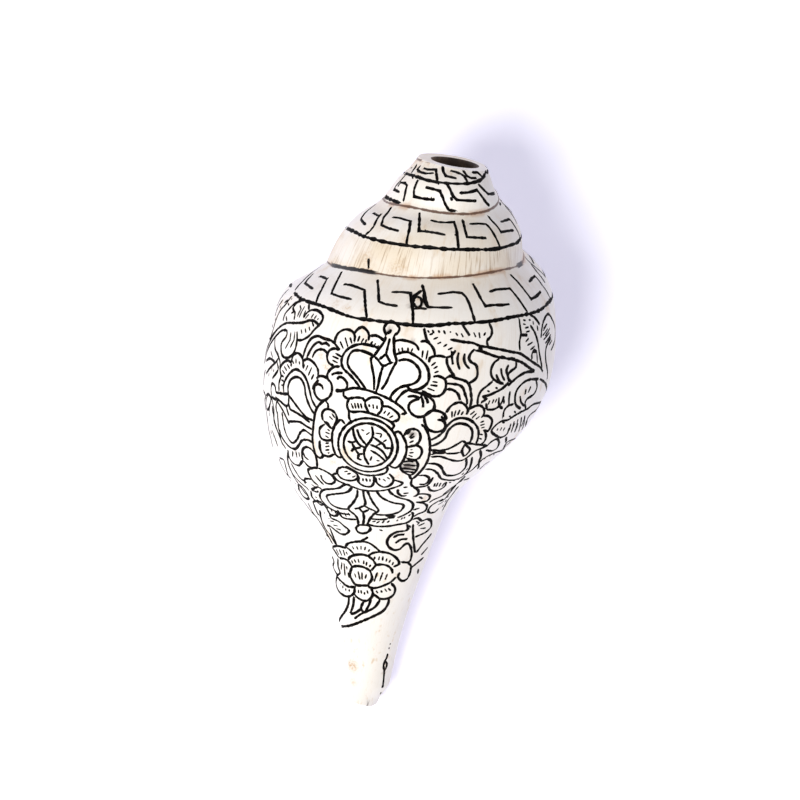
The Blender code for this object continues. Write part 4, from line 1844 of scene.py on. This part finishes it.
def build_shell(materials):
    """The whole shell: its closed surface, the values its stains follow, and then the cuts into it."""
    rng = np.random.default_rng(SEED)
    front = photo_strokes()
    points, charts, welded, faces, ink, polygons = closed_shell(front + hidden_strokes(front), rng)
    mesh = new_mesh("engraved_shell", points, welded.tolist() + polygons)
    uv = mesh.uv_layers.new(name="chart")
    corners = np.concatenate([faces.reshape(-1), np.concatenate([np.array(ring) for ring in polygons])])
    turn, place = from_chart(charts)
    flat = np.stack([turn, charts[:, 1]], axis=-1)[corners]
    uv.data.foreach_set("uv", np.ascontiguousarray(flat, dtype=np.float32).reshape(-1))
    index = np.zeros(len(mesh.polygons), dtype=np.int32)
    index[:len(ink)][ink] = 1
    mesh.polygons.foreach_set("material_index", index)
    radius = section(turn, place)[:, 0]
    below_next = np.where(turn >= TURN_OPEN, FAR_OUTSIDE, chart_limit(turn) - charts[:, 1])
    to_seam = np.minimum(charts[:, 1], below_next) * radius
    put_values(mesh, "seam", np.clip(1.0 - to_seam / SEAM_REACH, 0.0, 1.0))
    seam_turn = np.where(charts[:, 1] < below_next, turn, turn + 1.0)
    inked = np.zeros(len(turn))
    for newest, oldest in INKED_SEAMS:
        from_ends = np.minimum(newest - seam_turn, seam_turn - oldest)
        inked = np.maximum(inked, smooth(from_ends / INKED_SEAM_SOFTNESS))
    put_values(mesh, "seam_ink", inked)
    line = row_line(turn)
    newest, oldest, softness = SCRATCHED_BAND
    band = smooth((charts[:, 1] - line) * radius / BAND_EDGE) * smooth((newest - turn) / softness)
    put_values(mesh, "band", band * (turn > oldest))
    put_values(mesh, "tan", spot_amount(charts, TAN_SPOTS))
    put_values(mesh, "dirt", spot_amount(charts, DIRT_SPOTS))
    for material in materials:
        mesh.materials.append(material)
    turned_out(mesh)
    shell = bpy.data.objects.new("engraved_shell", mesh)
    bpy.context.scene.collection.objects.link(shell)

    above_rim = [(APEX_CUT_RADIUS, APEX_DEPTH - APEX_CUT_HEIGHT), (APEX_CUT_RADIUS, APEX_DEPTH)]
    bore = [(MOUTH_HOLE_RADIUS + wider, APEX_DEPTH + below) for below, wider in BORE_RIM]
    bore += zip(BORE_RADII, BORE_DEPTHS)
    carve(shell, "apex_cut", lathe(above_rim, LATHE_STEPS), 0)
    carve(shell, "hollow", tube(), 2)
    carve(shell, "mouth_hole", lathe(bore, LATHE_STEPS), 3)
    carve(shell, "table", table_block(), 0)
    mesh = shell.data
    mesh.name = "engraved_shell"
    mesh.shade_smooth()
    mesh.set_sharp_from_angle(angle=SHARP_ANGLE)
    return shell


def node(tree, kind, values=(), **settings):
    """A shader node with its plain settings and its unlinked input values."""
    made = tree.nodes.new(kind)
    for name, value in settings.items():
        setattr(made, name, value)
    for name, value in dict(values).items():
        made.inputs[name].default_value = value
    return made


def mix_colour(tree, factor, one, two):
    """Colour mixed from one to two by a factor; each may be an output socket or a plain value."""
    mixer = node(tree, "ShaderNodeMix", data_type="RGBA")
    for socket, value in zip((mixer.inputs[0], mixer.inputs[6], mixer.inputs[7]), (factor, one, two)):
        if isinstance(value, bpy.types.NodeSocket):
            tree.links.new(value, socket)
        else:
            socket.default_value = value
    return mixer.outputs[2]


def maths(tree, operation, one, two):
    made = node(tree, "ShaderNodeMath", operation=operation)
    for socket, value in zip(made.inputs, (one, two)):
        if isinstance(value, bpy.types.NodeSocket):
            tree.links.new(value, socket)
        else:
            socket.default_value = value
    return made.outputs[0]


def product(tree, *values):
    """All the values multiplied together."""
    result = values[0]
    for value in values[1:]:
        result = maths(tree, "MULTIPLY", result, value)
    return result


def ramp(tree, value, low, high, start=0.0, end=1.0):
    """A number remapped smoothly from low..high to start..end and held there."""
    limits = {1: low, 2: high, 3: start, 4: end}
    made = node(tree, "ShaderNodeMapRange", limits, interpolation_type="SMOOTHSTEP")
    tree.links.new(value, made.inputs[0])
    return made.outputs[0]


def noise(tree, vector, scale, detail=3.0, roughness=0.55):
    made = node(tree, "ShaderNodeTexNoise", {"Scale": scale, "Detail": detail, "Roughness": roughness})
    tree.links.new(vector, made.inputs["Vector"])
    return made.outputs["Fac"]


def stretched(tree, vector, scale):
    made = node(tree, "ShaderNodeMapping", {"Scale": scale})
    tree.links.new(vector, made.inputs["Vector"])
    return made.outputs["Vector"]


def attribute(tree, name):
    return node(tree, "ShaderNodeAttribute", attribute_name=name).outputs["Fac"]


def bumped(tree, surface, height, strength, distance):
    bump = node(tree, "ShaderNodeBump", {"Strength": strength, "Distance": distance})
    tree.links.new(height, bump.inputs["Height"])
    tree.links.new(bump.outputs["Normal"], surface.inputs["Normal"])


def new_material(name):
    material = bpy.data.materials.new(name)
    material.use_nodes = True
    return material, material.node_tree, material.node_tree.nodes["Principled BSDF"]


def polished_shell():
    """Polished shell: warm white with cream clouds, fine growth lines, tan stains and brown seams."""
    material, tree, surface = new_material("polished_shell")
    here = node(tree, "ShaderNodeTexCoord").outputs["Object"]
    chart = node(tree, "ShaderNodeUVMap", uv_map="chart").outputs["UV"]
    clouds = ramp(tree, noise(tree, here, 38.0, 4.0), 0.36, 0.68)
    along = node(tree, "ShaderNodeSeparateXYZ")
    tree.links.new(here, along.inputs[0])
    spire = ramp(tree, along.outputs["Y"], 0.022, 0.060, 0.12, 0.80)
    lines = noise(tree, stretched(tree, chart, (330.0, 2.2, 1.0)), 1.0, 4.0, 0.6)
    fine = ramp(tree, lines, 0.50, 0.66)
    white = (0.905, 0.88, 0.84, 1.0)
    cream = (0.80, 0.69, 0.53, 1.0)
    tan = (0.60, 0.36, 0.13, 1.0)
    streak = (0.62, 0.42, 0.20, 1.0)
    stain = (0.50, 0.29, 0.09, 1.0)
    scratch = (0.36, 0.24, 0.13, 1.0)
    rust = (0.50, 0.23, 0.07, 1.0)
    brown = (0.11, 0.045, 0.02, 1.0)
    black = (0.006, 0.004, 0.003, 1.0)
    dirt = (0.05, 0.022, 0.012, 1.0)
    colour = mix_colour(tree, product(tree, clouds, spire), white, cream)

    band = attribute(tree, "band")
    patchy = ramp(tree, noise(tree, here, 70.0, 3.0), 0.34, 0.60, 0.25, 1.0)
    # Cream in the scratched band: the stain itself is real, and its strengthening towards the left is painted
    # shade.
    warm = ramp(tree, along.outputs["X"], -0.020, 0.012, 0.95, 0.25)
    colour = mix_colour(tree, product(tree, band, patchy, warm), colour, cream)
    colour = mix_colour(tree, product(tree, fine, 0.09), colour, tan)
    colour = mix_colour(tree, product(tree, fine, band, patchy, 0.75), colour, scratch)

    grain = ramp(tree, noise(tree, here, 1500.0, 3.0), 0.49, 0.57, 0.38, 1.0)
    colour = mix_colour(tree, product(tree, attribute(tree, "tan"), grain), colour, stain)
    streaks = ramp(tree, noise(tree, stretched(tree, chart, (40.0, 3.0, 1.0)), 1.0, 4.0, 0.6), 0.54, 0.72)
    patches = ramp(tree, noise(tree, here, 55.0, 3.0), 0.46, 0.60, 0.12, 1.0)
    colour = mix_colour(tree, product(tree, streaks, patches, 0.55), colour, streak)

    seam = attribute(tree, "seam")
    fray = product(tree, noise(tree, here, 330.0, 4.0, 0.65), 0.36)
    rusty = product(tree, seam, ramp(tree, noise(tree, here, 110.0, 3.0), 0.38, 0.62))
    colour = mix_colour(tree, product(tree, ramp(tree, rusty, 0.35, 0.95), 0.60), colour, rust)
    frayed = maths(tree, "ADD", seam, fray)
    colour = mix_colour(tree, product(tree, ramp(tree, frayed, 1.01, 1.10), 0.92), colour, brown)
    inked = product(tree, ramp(tree, frayed, 0.87, 0.94), attribute(tree, "seam_ink"))
    colour = mix_colour(tree, inked, colour, black)
    speck = ramp(tree, noise(tree, here, 900.0, 3.0), 0.35, 0.6, 0.8, 1.0)
    colour = mix_colour(tree, product(tree, attribute(tree, "dirt"), speck), colour, dirt)
    tree.links.new(colour, surface.inputs["Base Color"])

    gloss = ramp(tree, noise(tree, here, 160.0, 3.0), 0.3, 0.7, 0.34, 0.48)
    tree.links.new(gloss, surface.inputs["Roughness"])
    height = maths(tree, "ADD", product(tree, lines, 0.7), product(tree, noise(tree, here, 500.0, 4.0), 0.5))
    bumped(tree, surface, height, 0.22, 0.0004)
    return material


def graver_ink():
    """Black-brown pigment rubbed into the cuts, dull and a little thin in places."""
    material, tree, surface = new_material("graver_ink")
    here = node(tree, "ShaderNodeTexCoord").outputs["Object"]
    thin = ramp(tree, noise(tree, here, 420.0, 4.0, 0.65), 0.55, 0.80)
    colour = mix_colour(tree, thin, (0.002, 0.0015, 0.0015, 1.0), (0.022, 0.011, 0.006, 1.0))
    tree.links.new(colour, surface.inputs["Base Color"])
    tree.links.new(ramp(tree, thin, 0.0, 1.0, 0.62, 0.85), surface.inputs["Roughness"])
    surface.inputs["Specular IOR Level"].default_value = 0.12
    bumped(tree, surface, noise(tree, here, 1500.0, 3.0), 0.4, 0.0003)
    return material


def inner_glaze():
    """The glazed inside of the mouth: porcelain white going to apricot, smooth with a faint fine bump."""
    material, tree, surface = new_material("inner_glaze")
    here = node(tree, "ShaderNodeTexCoord").outputs["Object"]
    clouds = ramp(tree, noise(tree, here, 45.0, 4.0), 0.35, 0.7)
    colour = mix_colour(tree, clouds, (0.86, 0.79, 0.70, 1.0), (0.80, 0.56, 0.38, 1.0))
    tree.links.new(colour, surface.inputs["Base Color"])
    gloss = ramp(tree, noise(tree, here, 220.0, 3.0), 0.3, 0.7, 0.18, 0.30)
    tree.links.new(gloss, surface.inputs["Roughness"])
    bumped(tree, surface, noise(tree, here, 260.0, 3.0), 0.12, 0.0004)
    return material


def dark_bore_wall():
    """The mouth hole's wall: dark brown in mottled patches."""
    material, tree, surface = new_material("dark_bore_wall")
    here = node(tree, "ShaderNodeTexCoord").outputs["Object"]
    spots = ramp(tree, noise(tree, here, 260.0, 4.0, 0.65), 0.35, 0.70)
    colour = mix_colour(tree, spots, (0.060, 0.036, 0.022, 1.0), (0.20, 0.135, 0.085, 1.0))
    tree.links.new(colour, surface.inputs["Base Color"])
    tree.links.new(ramp(tree, spots, 0.0, 1.0, 0.55, 0.8), surface.inputs["Roughness"])
    bumped(tree, surface, noise(tree, here, 700.0, 4.0), 0.5, 0.0004)
    return material


def pale_floor():
    """A matt white floor that glows faintly blue, as the picture's pale shadows do."""
    material, _, surface = new_material("pale_floor")
    surface.inputs["Base Color"].default_value = (0.93, 0.93, 1.0, 1.0)
    surface.inputs["Roughness"].default_value = 0.9
    surface.inputs["Emission Color"].default_value = (0.76, 0.75, 1.0, 1.0)
    surface.inputs["Emission Strength"].default_value = 0.42
    return material


def add_light(name, place, target, size, power, colour):
    """A round soft light at a place, turned to a target."""
    lamp = bpy.data.lights.new(name, "AREA")
    lamp.shape = "DISK"
    lamp.size = size
    lamp.energy = power
    lamp.color = colour
    item = bpy.data.objects.new(name, lamp)
    bpy.context.scene.collection.objects.link(item)
    item.location = place
    item.rotation_euler = (Vector(target) - Vector(place)).to_track_quat("-Z", "Y").to_euler()


def build_studio():
    """A camera straight above, turned to the photograph's frame, and soft light from the lower left."""
    scene = bpy.context.scene
    lens = bpy.data.cameras.new("camera")
    lens.lens = CAMERA_LENS
    lens.sensor_width = CAMERA_SENSOR
    lens.clip_start = 0.05
    lens.clip_end = 20.0
    camera = bpy.data.objects.new("camera", lens)
    scene.collection.objects.link(camera)
    camera.location = (CAMERA_PLACE * MM).tolist()
    camera.rotation_euler = (0.0, 0.0, CAMERA_TURN)
    scene.camera = camera

    half = 1.6
    corners = [(-half, -half, 0.0), (half, -half, 0.0), (half, half, 0.0), (-half, half, 0.0)]
    mesh = bpy.data.meshes.new("floor")
    mesh.from_pydata(corners, [], [(0, 1, 2, 3)])
    mesh.materials.append(pale_floor())
    floor = bpy.data.objects.new("floor", mesh)
    scene.collection.objects.link(floor)

    world = bpy.data.worlds.new("studio")
    world.use_nodes = True
    world.node_tree.nodes["Background"].inputs["Color"].default_value = (0.965, 0.95, 1.0, 1.0)
    world.node_tree.nodes["Background"].inputs["Strength"].default_value = 0.37
    scene.world = world
    add_light("key", (-0.33, -0.36, 1.00), (0.0, 0.0, 0.03), 0.50, 11.2, (1.0, 0.975, 0.93))
    scene.view_settings.view_transform = "Standard"


def main():
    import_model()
    materials = [polished_shell(), graver_ink(), inner_glaze(), dark_bore_wall()]
    shell = build_shell(materials)
    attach(shell, "root")
    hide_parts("shell")
    build_studio()


main()
